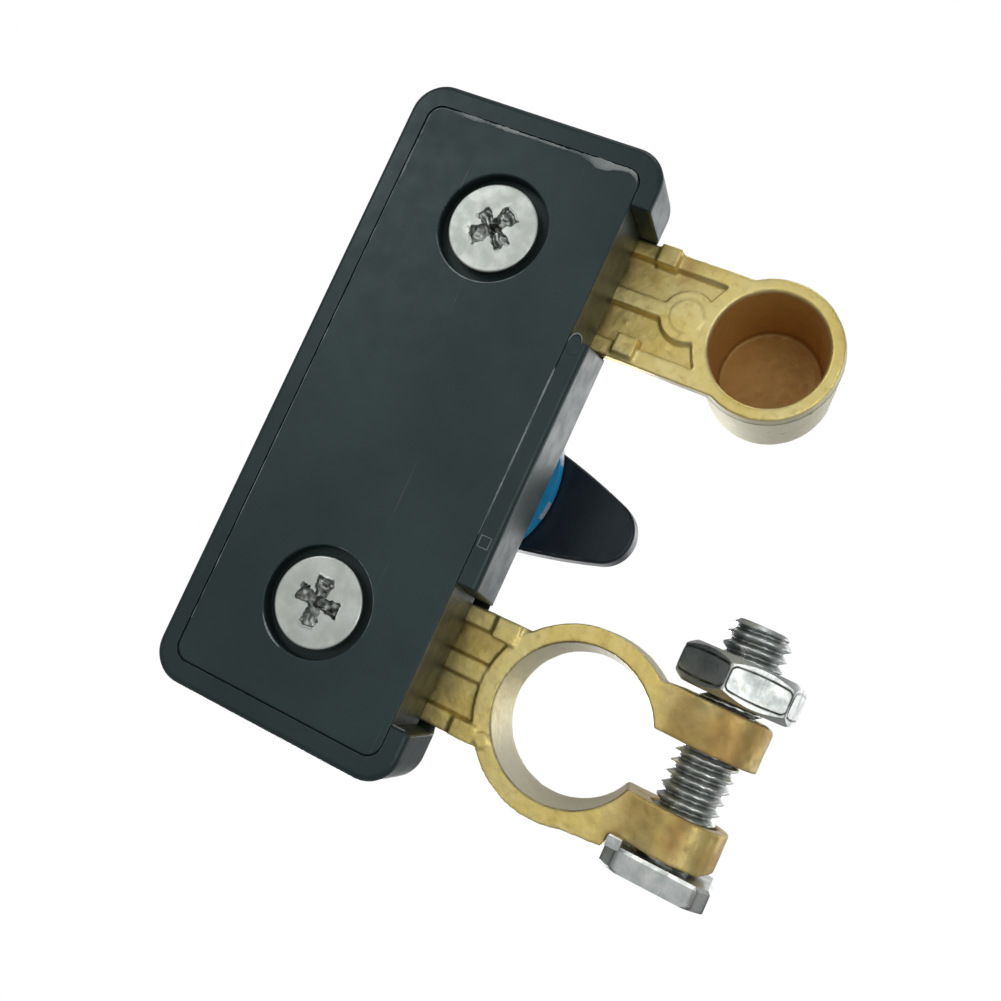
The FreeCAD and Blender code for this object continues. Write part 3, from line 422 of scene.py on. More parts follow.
def plated_steel(name, bright, dull, stain, roughness, stain_share=0.5):
    """Plated steel with stains, and with dirt and painted shade in its corners and where its mesh says so."""
    s = Surface(name)
    clouds = s.noise(2.6, detail=5.0, roughness=0.6)
    specks = s.noise(0.5, detail=4.0)
    colour = s.mix(s.band(clouds, 0.35, 0.65), bright, dull)
    colour = s.mix(s.band(specks, 0.58, 0.75, 0.0, stain_share), colour, stain)
    # dirt and painted shade: darker in corners and recesses, and where the mesh says so
    dirt_and_shade = s.band(s.hollows(0.8), 0.45, 0.9)
    blotches = s.band(s.noise(1.7, detail=3.0), 0.36, 0.62, 0.7, 1.0)
    dirt_and_shade = s.math("MAXIMUM", dirt_and_shade, s.math("MULTIPLY", s.attribute("dirt_and_shade"), blotches))
    colour = s.mix(dirt_and_shade, colour, (0.060, 0.066, 0.055))
    gloss = s.band(clouds, 0.3, 0.7, roughness - 0.05, roughness + 0.12)
    s.height(s.noise(0.28, detail=4.0), 0.012)
    s.height(scratches(s, 0.9, (15.0, -40.0), 0.62), -0.01)
    return s.finish(colour, gloss, metallic=1.0)


def plain_metal(name, base, darker, roughness):
    s = Surface(name)
    brushed = s.noise(0.6, detail=3.0, stretch=(1.0, 1.0, 6.0))
    colour = s.mix(s.band(brushed, 0.35, 0.65), base, darker)
    s.height(brushed, 0.01)
    return s.finish(colour, s.band(s.noise(2.0), 0.3, 0.7, roughness, roughness + 0.15), metallic=1.0)


def soft_plastic(name, base, shade_colour, roughness):
    s = Surface(name)
    clouds = s.noise(4.0, detail=4.0)
    colour = s.mix(s.band(clouds, 0.35, 0.65), base, shade_colour)
    s.height(s.noise(0.3, detail=2.0), 0.01)
    return s.finish(colour, s.band(s.noise(1.5), 0.3, 0.7, roughness, roughness + 0.12))


def dial_paint(name):
    s = Surface(name)
    clouds = s.noise(3.0, detail=4.0)
    colour = s.mix(s.band(clouds, 0.35, 0.65), (0.008, 0.33, 0.76), (0.022, 0.40, 0.85))
    colour = s.mix(s.math("MULTIPLY", s.edges(0.3), 0.4), colour, (0.15, 0.35, 0.6))
    s.height(s.noise(0.4, detail=2.0), 0.006)
    return s.finish(colour, s.band(s.noise(1.2), 0.3, 0.7, 0.28, 0.42))


LOOKS = {                    # for each slot, how its material is made and what it is made with
    "housing_plastic": (moulded_plastic, (0.013, 0.024, 0.026), (0.019, 0.034, 0.036), 0.36, 0.2,
                        (0.12, 0.15, 0.15)),
    "cover_plastic": (moulded_plastic, (0.013, 0.027, 0.030), (0.022, 0.040, 0.042), 0.40, 0.45,
                      (0.14, 0.17, 0.17), 0.35),
    "brass_casting": (cast_brass,),
    "zinc_steel": (plated_steel, (0.70, 0.72, 0.70), (0.50, 0.54, 0.53), (0.42, 0.42, 0.24), 0.30),
    "screw_steel": (plated_steel, (0.72, 0.76, 0.72), (0.62, 0.66, 0.62), (0.46, 0.46, 0.36), 0.42, 0.2),
    "turned_brass": (plain_metal, (0.62, 0.45, 0.18), (0.48, 0.33, 0.12), 0.25),
    "copper": (plain_metal, (0.70, 0.32, 0.18), (0.52, 0.22, 0.12), 0.28),
    "silver": (plain_metal, (0.84, 0.83, 0.80), (0.66, 0.65, 0.62), 0.22),
    "nylon": (soft_plastic, (0.62, 0.59, 0.48), (0.52, 0.49, 0.39), 0.45),
    "spring_steel": (plain_metal, (0.52, 0.52, 0.52), (0.34, 0.34, 0.35), 0.30),
    "rubber": (soft_plastic, (0.016, 0.016, 0.016), (0.024, 0.024, 0.024), 0.7),
    "dial_plastic": (dial_paint,),
    "lever_plastic": (moulded_plastic, (0.004, 0.006, 0.017), (0.008, 0.011, 0.024), 0.34, 0.2,
                      (0.09, 0.10, 0.12)),
    "white_print": (soft_plastic, (0.62, 0.64, 0.74), (0.46, 0.52, 0.68), 0.4),
    # pale plastic for flash, wear and small lips, lighter than the moulding so that it also serves as painted
    # highlight on edges
    "flash_plastic": (soft_plastic, (0.30, 0.34, 0.33), (0.12, 0.155, 0.155), 0.42),
}
MATERIALS = {name: make(name, *values) for name, (make, *values) in LOOKS.items()}


# ---- terminals -----------------------------------------------------------------------------------
# Places on the CAD's two castings. The clamp's is on the -X side, the dummy post's on the +X side.
POST_CENTRE_MM = (26.05, 35.07)
POST_FLANGE_MM = 9.26        # radius of the flange at the post's mouth
BORE_EDGE_MM = 8.2           # the post's hollow is inside this radius
BORE_FLOOR_R_MM = 7.3        # radius of the hollow's foot
BORE_FLOOR_Z_MM = 25.7
CLAMP_CENTRE_MM = (-25.3, 31.9)
CLAMP_MOUTH_MM = 9.95        # radius of the clamp's mouth
PARTING_MM = 11.7            # height of the moulds' parting line
NEAR_FACE_MM = 10.2          # height of the castings' back faces
CLAMP_POCKETS_MM = ((-32.3, -17.7), 22.0)    # span in x and end in y of the pockets in each arm
POST_POCKETS_MM = ((18.7, 33.0), 27.5)

EARS_SPAN_MM = (38.5, 44.0)  # the ears' tone sets in over this span of y
WALL_LIGHT_SPAN_MM = (18.0, 26.0)
STAIN_PLACE_MM = (32.4, 21.6)
STAIN_SIZE_MM = (2.0, 1.5)
CLAMP_ROOT_MM = 17.6         # where the painted shade that spreads from the housing ends, in y
POST_ROOT_MM = 16.5
ROOT_FADE_MM = 4.0
ROOT_SHADE = 0.48
VOXEL_MM = 0.21              # grid on which the castings are remeshed
SMOOTH_STEPS = 3
GRAIN_MM = ((2.6, 0.10), (0.7, 0.035))    # cell and height of each layer of unevenness
DENTS = (90, (0.35, 1.2), (0.02, 0.08))   # how many, and their radii and depths in millimetres
BUMPS = (26, (0.3, 0.7), (-0.08, -0.04))


def line_at(distance, centre, width):
    """1 where distance equals centre, and fading to 0 over about width on both sides."""
    return np.exp(-((distance - centre) / width) ** 2)


def in_pockets(x, y, span_and_end):
    span, end = span_and_end
    return (x > span[0]) & (x < span[1]) & (y < end)


def tone_casting(piece, seed):
    """Where a casting is ruddy, pale with painted light on its walls, or dark with grime and painted shade,
    as one number of each for every vertex.
    """
    places, normals = skin_points(piece.data)
    x, y, z = (places / MM).T
    on_clamp, on_post = x < 0, x > 0
    patchy = lattice_noise(x, y, 2.3, seed)
    upright = smooth_step(1.0 - np.abs(normals[:, 2]), 0.35, 0.85)
    from_post = np.hypot(x - POST_CENTRE_MM[0], y - POST_CENTRE_MM[1])
    from_clamp = np.hypot(x - CLAMP_CENTRE_MM[0], y - CLAMP_CENTRE_MM[1])
    bore = (from_post < BORE_EDGE_MM) & (z < BORE_FLOOR_Z_MM + 0.6) & on_post
    bore = bore * smooth_step(z, NEAR_FACE_MM + 0.05, NEAR_FACE_MM + 1.2)
    ears = smooth_step(y, *EARS_SPAN_MM) * on_clamp

    arm = smooth_step(y, 10.0, 13.0) * (1.0 - smooth_step(y, 24.0, 27.0))
    # painted shade: the arms' sunk pocket floors get a faint, darker ruddy tint
    sunk = smooth_step(z, NEAR_FACE_MM + 0.4, NEAR_FACE_MM + 1.1) * (1.0 - upright) * (normals[:, 2] < 0)
    stain = line_at(x, STAIN_PLACE_MM[0], STAIN_SIZE_MM[0]) * line_at(y, STAIN_PLACE_MM[1], STAIN_SIZE_MM[1])
    ruddy = np.maximum(bore, ears * (0.52 + 0.4 * patchy))
    ruddy = np.maximum(ruddy, (0.10 + 0.2 * patchy) * arm * sunk)
    ruddy = np.maximum(ruddy, 0.6 * stain)
    # painted light: upright walls along the arms' middle, seen edge-on, are painted pale
    wall_light = upright * (1.0 - bore) * smooth_step(y, *WALL_LIGHT_SPAN_MM) * (1.0 - 0.6 * ears)

    pockets = np.where(on_clamp, in_pockets(x, y, CLAMP_POCKETS_MM), in_pockets(x, y, POST_POCKETS_MM))
    outside = (1.0 - bore) * (1.0 - pockets) * (on_post | (from_clamp > CLAMP_MOUTH_MM + 1.0))
    parting = line_at(z, PARTING_MM, 0.22) * upright * outside * (0.5 + 0.25 * patchy)
    root_end = np.where(on_clamp, CLAMP_ROOT_MM, POST_ROOT_MM)
    # painted shade: the arms darken towards the housing, where they run into its dark slots
    root = ROOT_SHADE * (1.0 - smooth_step(y + 1.2 * patchy, root_end - ROOT_FADE_MM, root_end))
    mouth = line_at(from_clamp, CLAMP_MOUTH_MM, 0.13) * (z < NEAR_FACE_MM + 0.4) * (0.6 + 0.25 * patchy)
    lip = 0.6 * line_at(from_post, POST_FLANGE_MM, 0.2) * (np.abs(z - PARTING_MM) < 0.3)
    foot = 0.35 * line_at(from_post, BORE_FLOOR_R_MM, 0.8) * bore * (z > BORE_FLOOR_Z_MM - 0.9)
    soiled = ears * (0.22 + 0.16 * lattice_noise(x, y + z, 1.1, seed + 3))
    grime_and_shade = np.maximum.reduce([parting, root, mouth * on_clamp, lip * on_post, foot, soiled])
    for name, tone in (("ruddy", ruddy), ("wall_light", wall_light), ("grime_and_shade", grime_and_shade)):
        set_values(piece, name, np.clip(tone, 0.0, 1.0))


def make_castings():
    """The two brass terminals, with a cast skin, dents and bumps."""
    for node, seed in (("post_terminal", 11), ("clamp_terminal", 12)):
        piece = softened_copy(node, node + "_casting", "housing_body")
        dent(piece, seed, *DENTS)
        dent(piece, seed + 2, *BUMPS)
        tone_casting(piece, seed)
        finish_piece(piece, "brass_casting", node)


def make_contact_spring():
    """The contact spring: a copy of its CAD node, riding on the rotor."""
    node = "contact_spring"
    piece = new_object(node + "_coil", NODES[node].data.copy())
    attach(piece, "rotor")
    finish_piece(piece, "spring_steel", node)
    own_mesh(piece)


# ---- clamp bolt and nut --------------------------------------------------------------------------
# The bolt lies along X with its head at -X. Radii and heights are in millimetres.
THREAD_PITCH_MM = 1.411
THREAD_DEPTH_MM = 0.74
THREAD_STEPS = 16            # rings for each turn of the thread
THREAD_FLAT = 0.16           # share of the pitch that the flat crest takes, and the flat root
CREST_MM = 3.95              # radius of the thread's crest
TIP_BEVEL_MM = 0.9
HEAD_HEIGHT_MM = 2.85
HEAD_EASE_MM = 0.4           # how far the head's edge on the shank's side is rounded
HEAD_CUT_CORNER_MM = 1.5
HEAD_BEVEL_MM = 0.55
HEAD_BEVEL_SLOPE = 0.75
LUG_LOW_YZ_MM = (41.35, 8.0) # a small lug under the head, beside the ear
LUG_HIGH_YZ_MM = (43.1, 9.6)
LUG_HEIGHT_MM = 0.9
LUG_EASE_MM = 0.15
NUT_TURN_DEG = 20.0
NUT_CORNER_MM = 0.5          # radius of the nut's worn corners
NUT_PANEL_MM = (3.85, 1.25)  # half of the raised panel on each flat, and its ends from the nut's ends
NUT_PANEL_RISE_MM = 0.07
NUT_PANEL_SAG_MM = 0.25      # how far the panel's ends curve out in their middle
NUT_PANEL_ROUND_MM = 0.6     # radius of the panel's corners
NUT_BEVEL_MM = 1.55
NUT_BEVEL_SLOPE = 0.667
NUT_BORE_MM = 4.01
BORE_LEAD_IN_MM = 0.55


def rings_along_x(stations, angles, radius_at, centre_y, centre_z):
    """Rings about an axis along X. radius_at gives every point's radius from its x and its angle."""
    rings = []
    for x, key in stations:
        radii = radius_at(x, angles, key)
        rings.append(points_at(x, centre_y + radii * np.cos(angles), centre_z + radii * np.sin(angles)))
    return rings


def thread_height(x, angles):
    """From 0 in the thread's root to 1 on its crest."""
    phase = np.mod(x / THREAD_PITCH_MM - angles / (2 * math.pi), 1.0)
    from_crest = np.abs(phase - 0.5) * 2.0
    return 1.0 - np.clip((from_crest - THREAD_FLAT) / (1.0 - 2 * THREAD_FLAT), 0.0, 1.0)


def block(low, high, first):
    """Vertices and faces of a box with cut edges on its outer end. Faces count vertices from first."""
    (x0, y0, z0), (x1, y1, z1) = low, high
    levels = ((x0, 0.0), (x1 - LUG_EASE_MM, 0.0), (x1, LUG_EASE_MM))
    vertices = []
    for x, inset in levels:
        vertices += [(x, y0 + inset, z0 + inset), (x, y1 - inset, z0 + inset)]
        vertices += [(x, y1 - inset, z1 - inset), (x, y0 + inset, z1 - inset)]
    faces = skin_faces(len(levels), 4, first)
    faces.append((first + 3, first + 2, first + 1, first))
    faces.append((first + 8, first + 9, first + 10, first + 11))
    return np.array(vertices), faces


def make_bolt():
    """The clamp bolt: a square head with cut corners, a cut thread and a small lug under the head."""
    low, high = box_mm("clamp_bolt")
    centre_y, centre_z = (low.y + high.y) / 2, (low.z + high.z) / 2
    half = (high.y - low.y) / 2
    head_x, under_head_x, tip_x = low.x, low.x + HEAD_HEIGHT_MM, high.x
    corner = math.atan2(half - HEAD_CUT_CORNER_MM, half)
    angles = full_turn(180)
    exact = [quarter * math.pi / 2 + side * corner for quarter in range(4) for side in (1, -1)]
    angles = np.sort(np.concatenate([angles, np.mod(exact, 2 * math.pi)]))
    cosine, sine = np.abs(np.cos(angles)), np.abs(np.sin(angles))
    outline = np.minimum(half / np.maximum(cosine, sine), (2 * half - HEAD_CUT_CORNER_MM) / (cosine + sine))
    bevel_start = math.hypot(half, half - HEAD_CUT_CORNER_MM) - HEAD_BEVEL_MM
    worn = 0.05 * line_noise(np.degrees(angles), 9.0, 21)
    root = CREST_MM - THREAD_DEPTH_MM

    def radius_at(x, turns, key):
        if key == "head":
            return np.minimum(outline, bevel_start + (x - head_x) / HEAD_BEVEL_SLOPE)
        if key == "eased_head":
            return np.minimum(outline, bevel_start) - 0.12
        if key == "under_head":
            return outline - HEAD_EASE_MM + worn
        if key == "neck":
            return np.full_like(turns, CREST_MM - 0.1)
        if key == "tip_face":
            return np.full_like(turns, CREST_MM - 1.1)
        runout = smooth_step(x, under_head_x + 0.2, under_head_x + 1.6)
        runout = runout * (1 - smooth_step(x, tip_x - 0.8, tip_x))
        bevel = CREST_MM - np.clip(x - (tip_x - TIP_BEVEL_MM), 0.0, 2.0)
        knocks = 0.03 * lattice_noise(np.full_like(turns, x), turns * CREST_MM, 0.7, 22)
        cut_thread = root + THREAD_DEPTH_MM * thread_height(x, turns) * np.maximum(runout, 0.25)
        return np.minimum(cut_thread + knocks - 0.03, bevel)

    stations = [(head_x, "eased_head"), (head_x + 0.02, "head"), (head_x + 0.10, "head")]
    stations += [(x, "head") for x in np.linspace(head_x + 0.2, under_head_x - HEAD_EASE_MM, 22)]
    stations += [(under_head_x, "under_head"), (under_head_x, "neck")]
    threads = int((tip_x - under_head_x) / THREAD_PITCH_MM * THREAD_STEPS)
    stations += [(x, "thread") for x in np.linspace(under_head_x + 0.06, tip_x - 0.02, threads)]
    stations.append((tip_x, "tip_face"))
    rings = rings_along_x(stations, angles, radius_at, centre_y, centre_z)
    # dirt and painted shade: dark in the thread's roots and along the head's cut corners
    dirt_and_shade = []
    for x, key in stations:
        if key == "thread":
            dirt_and_shade.append(np.clip(0.8 - 1.1 * thread_height(x, angles), 0.0, 0.6))
        elif key == "head":
            from_cut = np.abs(np.mod(angles + math.pi / 4, math.pi / 2) - math.pi / 4)
            dirt_and_shade.append(0.7 * (1.0 - smooth_step(np.abs(from_cut - corner) * half, 0.1, 0.35)))
        else:
            dirt_and_shade.append(np.zeros_like(angles))
    vertices, faces = closed_skin(rings, (head_x, centre_y, centre_z), (tip_x, centre_y, centre_z))
    lug_low = (under_head_x - 0.5, *LUG_LOW_YZ_MM)
    lug_high = (under_head_x + LUG_HEIGHT_MM, *LUG_HIGH_YZ_MM)
    lug, lug_faces = block(lug_low, lug_high, len(vertices))
    bolt = add_piece("clamp_bolt_threaded", np.concatenate([vertices, lug]), faces + lug_faces, "bolt", 38.0)
    set_values(bolt, "dirt_and_shade", np.concatenate(dirt_and_shade + [np.zeros(2 + len(lug))]))
    finish_piece(bolt, "zinc_steel", "clamp_bolt")


def make_nut():
    """The hexagon nut: worn corners, a bevel at each end and a slightly raised panel on each flat."""
    low, high = box_mm("clamp_nut")
    centre_y, centre_z = (low.y + high.y) / 2, (low.z + high.z) / 2
    turn = math.radians(NUT_TURN_DEG)
    corner_r = (high.y - low.y) / 2 / math.cos(turn)
    flat_r = corner_r * math.cos(math.pi / 6)
    corners = [np.radians(60.0 * index + np.linspace(-8.0, 8.0, 33)) for index in range(6)]
    flats = [np.radians(60.0 * index + np.linspace(9.5, 50.5, 22)) for index in range(6)]
    angles = np.sort(np.concatenate(corners + flats)) + turn
    from_flat = np.mod(angles - turn, math.pi / 3) - math.pi / 6
    from_corner = math.pi / 6 - np.abs(from_flat)
    corner_centre = (flat_r - NUT_CORNER_MM) / math.cos(math.pi / 6)
    arc = math.atan2(NUT_CORNER_MM / 2, corner_centre + NUT_CORNER_MM * math.cos(math.pi / 6))
    under_root = np.clip(NUT_CORNER_MM ** 2 - (corner_centre * np.sin(from_corner)) ** 2, 0.0, None)
    on_arc = corner_centre * np.cos(from_corner) + np.sqrt(under_root)
    rounded = np.where(from_corner < arc, on_arc, flat_r / np.cos(from_flat))
    face_r = corner_r - NUT_BEVEL_MM
    along_flat = np.abs(flat_r * np.tan(from_flat))

    def outside_panel(x):
        """How far each point at this x is outside its flat's raised panel, in millimetres."""
        sag = NUT_PANEL_SAG_MM * (1.0 - (along_flat / NUT_PANEL_MM[0]) ** 2)
        over_end = NUT_PANEL_MM[1] - sag - min(x - low.x, high.x - x)
        over_side = along_flat - NUT_PANEL_MM[0]
        over_end = over_end + NUT_PANEL_ROUND_MM
        over_side = over_side + NUT_PANEL_ROUND_MM
        corner = np.hypot(np.maximum(over_end, 0.0), np.maximum(over_side, 0.0))
        return corner + np.minimum(np.maximum(over_end, over_side), 0.0) - NUT_PANEL_ROUND_MM

    def radius_at(x, turns, key):
        if key == "outside":
            from_end = min(x - low.x, high.x - x)
            sunk = NUT_PANEL_RISE_MM * smooth_step(outside_panel(x), -0.05, 0.12)
            return np.minimum(rounded - sunk, face_r + from_end / NUT_BEVEL_SLOPE)
        if key == "end":
            return np.minimum(rounded, face_r) - 0.1
        if key == "mouth":
            return np.full_like(turns, NUT_BORE_MM + BORE_LEAD_IN_MM)
        return np.full_like(turns, NUT_BORE_MM)

    near = np.linspace(0.03, 1.95, 56)
    outside = [low.x + d for d in near] + list(np.linspace(low.x + 2.1, high.x - 2.1, 6))
    outside += [high.x - d for d in near[::-1]]
    stations = [(low.x, "end")] + [(x, "outside") for x in outside] + [(high.x, "end"), (high.x, "mouth")]
    stations += [(high.x - BORE_LEAD_IN_MM, "bore"), (low.x + BORE_LEAD_IN_MM, "bore"), (low.x, "mouth")]
    rings = rings_along_x(stations, angles, radius_at, centre_y, centre_z)
    # painted shade: a dark line along each panel's outline, and a dark bore
    dirt_and_shade = []
    for x, key in stations:
        if key == "outside":
            from_outline = np.abs(outside_panel(x) - 0.06)
            dirt_and_shade.append(1.0 - smooth_step(from_outline, 0.06, 0.24))
        else:
            dirt_and_shade.append(np.full_like(angles, 0.7 if key == "bore" else 0.0))
    faces = skin_faces(len(rings), len(angles), closed=True)
    nut = add_piece("clamp_nut_bevelled", np.concatenate(rings), faces, "nut", 24.0)
    set_values(nut, "dirt_and_shade", np.concatenate(dirt_and_shade))
    finish_piece(nut, "zinc_steel", "clamp_nut")


# ---- cover screws --------------------------------------------------------------------------------
# Each worn recess: its arms as (direction in degrees, reach, half of the width), then the burr left
# across it as (direction in degrees, half of the width), or None.
WORN_RECESSES = (
    (((-52, 2.7, 0.75), (35, 3.0, 0.95), (132, 2.9, 0.80), (231, 2.9, 0.95)), (128, 0.26)),
    (((-3, 3.0, 0.85), (90, 2.9, 0.80), (184, 3.0, 0.85), (-81, 3.0, 0.80)), None),
)
RECESS_FLOOR_MM = 0.8
RECESS_CENTRE_MM = 1.6
RECESS_CENTRE_R = 0.85
HEAD_EDGE_R = 0.25
HEAD_LAND_MM = 0.35
SHANK_R = 3.0
SHANK_BEVEL_MM = 0.7


def screw_places():
    """The two cover screws' centres, the one at +X first, and the radius of their heads."""
    low, high = box_mm("cover_screws")
    head_r = (high.y - low.y) / 2
    centre_y = (low.y + high.y) / 2
    return ((high.x - head_r, centre_y), (low.x + head_r, centre_y)), head_r


def turned(x, y, direction):
    """How far places are along and across a direction, in degrees."""
    turn = math.radians(direction)
    return x * math.cos(turn) + y * math.sin(turn), y * math.cos(turn) - x * math.sin(turn)


def recess_depth(x, y, arms, burr, seed):
    """How deep a worn cross recess is at places on a screw's face, in millimetres."""
    ragged = 0.16 * lattice_noise(x, y, 0.55, seed) + 0.10 * lattice_noise(x, y, 0.23, seed + 1)
    centre = 1.0 - smooth_step(np.hypot(x, y) + ragged, RECESS_CENTRE_R - 0.35, RECESS_CENTRE_R + 0.1)
    depth = RECESS_CENTRE_MM * centre
    for direction, reach, half_width in arms:
        along, across = turned(x, y, direction)
        petal = half_width * (0.95 + 0.30 * smooth_step(along, 0.8, 0.75 * reach))
        outside = np.maximum(np.maximum(np.abs(across) - petal, along - reach), -along) + ragged
        wall = 1.0 - smooth_step(outside, -0.20, 0.04)
        floor = RECESS_FLOOR_MM + 0.30 * lattice_noise(x, y, 0.6, seed + 2) - 0.14 * along
        depth = np.maximum(depth, wall * np.maximum(floor, 0.25))
    if burr:
        along, across = turned(x, y, burr[0])
        bend = 0.25 * line_noise(along, 0.9, seed + 3)
        spine = 1.0 - smooth_step(np.abs(across - 0.15 + bend), 0.05, burr[1] + 0.2)
        depth = depth * (1.0 - 0.75 * spine * (1.0 - smooth_step(np.abs(along), 1.4, 2.3)))
    return depth


def recess_dirt_and_shade(x, y, arms, burr, seed):
    """How dark the recess is painted, as dirt and as shade: most in its middle and on its steep walls, and 0
    outside it.
    """
    step = 0.05
    here = recess_depth(x, y, arms, burr, seed)
    slope_x = recess_depth(x + step, y, arms, burr, seed) - here
    slope_y = recess_depth(x, y + step, arms, burr, seed) - here
    walls = smooth_step(np.hypot(slope_x, slope_y) / step, 0.5, 2.2)
    inside = smooth_step(here, 0.05, 0.35) * (0.70 + 0.6 * lattice_noise(x, y, 0.45, seed + 4))
    return np.maximum(np.maximum(0.8 * walls, 0.75 * smooth_step(here, 1.1, 1.5)), inside)


def circle(centre, radius, angles, z):
    """Points on a circle about +Z. z is one height, or one for each point."""
    return points_at(centre[0] + radius * np.cos(angles), centre[1] + radius * np.sin(angles), z)


def shank_rings(centre, head_r, face_z, end_z, angles):
    """A countersunk screw's outline, from its end to the rounded edge of its face."""
    outline = [(SHANK_R - SHANK_BEVEL_MM, end_z), (SHANK_R, end_z - SHANK_BEVEL_MM)]
    outline += [(SHANK_R, face_z + HEAD_LAND_MM + head_r - SHANK_R), (head_r, face_z + HEAD_LAND_MM)]
    for turn in np.radians(np.arange(6) * 18):
        inward = HEAD_EDGE_R * (1 - math.cos(turn))
        outline.append((head_r - inward, face_z + HEAD_EDGE_R * (1 - math.sin(turn))))
    return [circle(centre, radius, angles, z) for radius, z in outline]


def make_screws():
    """The two cover screws, each with its own worn recess."""
    low, high = box_mm("cover_screws")
    centres, head_r = screw_places()
    angles = full_turn(240)
    radii = np.concatenate([np.linspace(head_r - HEAD_EDGE_R, 3.6, 14), np.linspace(3.5, 0.06, 64)])
    for index, centre in enumerate(centres):
        recess = (*WORN_RECESSES[index], 31 + 7 * index)
        rings = shank_rings(centre, head_r, low.z, high.z, angles)
        dirt_and_shade = [0.0] * (len(rings) * len(angles))
        for radius in radii:
            x, y = radius * np.cos(angles), radius * np.sin(angles)
            depth = recess_depth(x, y, *recess)
            lip = recess_depth(x * 0.92, y * 0.92, *recess)
            raised = 0.10 * np.clip(lip - depth, 0.0, 0.4) * (radius > 1.2)
            uneven = 0.001 * math.sin(radius * 14.0) + 0.006 * lattice_noise(x, y, 2.4, 51 + index)
            rings.append(circle(centre, radius, angles, low.z + depth - raised + uneven))
            # dirt and painted shade in the recess
            dirt_and_shade.extend(np.clip(recess_dirt_and_shade(x, y, *recess), 0.0, 1.0))
        vertices, faces = closed_skin(rings, (*centre, high.z), (*centre, rings[-1][0][2]))
        screw = add_piece(f"cover_screw_{index + 1}", vertices, faces, "housing_body", 50.0)
        set_values(screw, "dirt_and_shade", dirt_and_shade + [0.0, 1.0])
        finish_piece(screw, "screw_steel", "cover_screws")


# ---- moulding flash on the cover and the rim ----------------------------------------------------
RIDGE_SIDES = 9
LEAST_RIDGE_MM = 0.01


def ridge(name, slot, path, widths, heights):
    """A low, uneven ridge that follows a path over the back face. It stands out towards -Z."""
    path = np.asarray(path, float)
    along = np.gradient(path[:, :2], axis=0)
    along /= np.linalg.norm(along, axis=1)[:, None]
    across = np.stack([-along[:, 1], along[:, 0]], axis=1)
    turns = full_turn(RIDGE_SIDES)
    rings = []
    for place, side, width, height in zip(path, across, widths, heights):
        out = width * np.cos(turns)
        rings.append(points_at(place[0] + side[0] * out, place[1] + side[1] * out,
                               place[2] - height * np.sin(turns)))
    vertices, faces = closed_skin(rings, path[0], path[-1])
    # painted pale: real flash and wear, and in places a painted highlight
    finish_piece(add_piece(name, vertices, faces, "housing_body", 60.0), slot, look="flash_plastic")


def fade_in_out(values, low, high, fade_in, fade_out):
    """0 at both ends of the range low..high, and 1 between them."""
    return smooth_step(values, low, low + fade_in) * (1 - smooth_step(values, high - fade_out, high))


def arc_points(centre, radius, start_deg, end_deg, count):
    turns = np.radians(np.linspace(start_deg, end_deg, count))
    return [(centre[0] + radius * math.cos(a), centre[1] + radius * math.sin(a)) for a in turns]


COVER_CORNER_R = 2.0
FLASH_INSET_MM = 0.28
FLASH_TURN_MM = (11.0, 15.0)     # the flash grows over this part of its length, round the corner
FLASH_SWELL_Y_MM = (9.3, 1.9)    # middle and half length of its widest part
WEAR_ENDS_MM = 5.0           # the worn long edge stops this far from the cover's ends
SEAM_SPAN_MM = (-9.2, 12.3)


def cover_edge_path(inset):
    """Points along the cover's +X edge, from part of its -Y side round to its +Y corner."""
    low, high = box_mm("back_cover")
    right, bottom, top = high.x - inset, low.y + inset, high.y - inset
    corner = COVER_CORNER_R - inset
    points = [(x, bottom) for x in np.linspace(right - FLASH_TURN_MM[0], right - corner, 40)]
    points += arc_points((right - corner, bottom + corner), corner, -90, 0, 10)[1:]
    points += [(right, y) for y in np.linspace(bottom + corner + 0.2, top - corner, 150)]
    points += arc_points((right - corner, top - corner), corner, 0, 80, 10)[1:]
    return np.array([(x, y, low.z) for x, y in points])


def make_cover_flash():
    """Ragged flash along the cover's +X edge, widest near its +Y end."""
    path = cover_edge_path(FLASH_INSET_MM)
    length = np.concatenate([[0.0], np.cumsum(np.linalg.norm(np.diff(path, axis=0), axis=1))])
    rough = line_noise(length, 0.35, 61)
    coarse = line_noise(length, 2.1, 62)
    on_right = smooth_step(length, *FLASH_TURN_MM)
    swell = line_at(path[:, 1], *FLASH_SWELL_Y_MM) * on_right
    widths = 0.07 + 0.13 * on_right * (1 + 0.5 * coarse) + 0.45 * swell + 0.06 * rough
    heights = 0.05 + 0.08 * on_right + 0.12 * swell + 0.03 * rough
    path[:, 0] -= 0.35 * swell
    ends = fade_in_out(length, 0.0, length[-1], 1.5, 1.5)
    widths = np.maximum(widths * ends, LEAST_RIDGE_MM)
    heights = np.maximum(heights * ends, LEAST_RIDGE_MM)
    ridge("cover_flash", "cover_plastic", path, widths, heights)


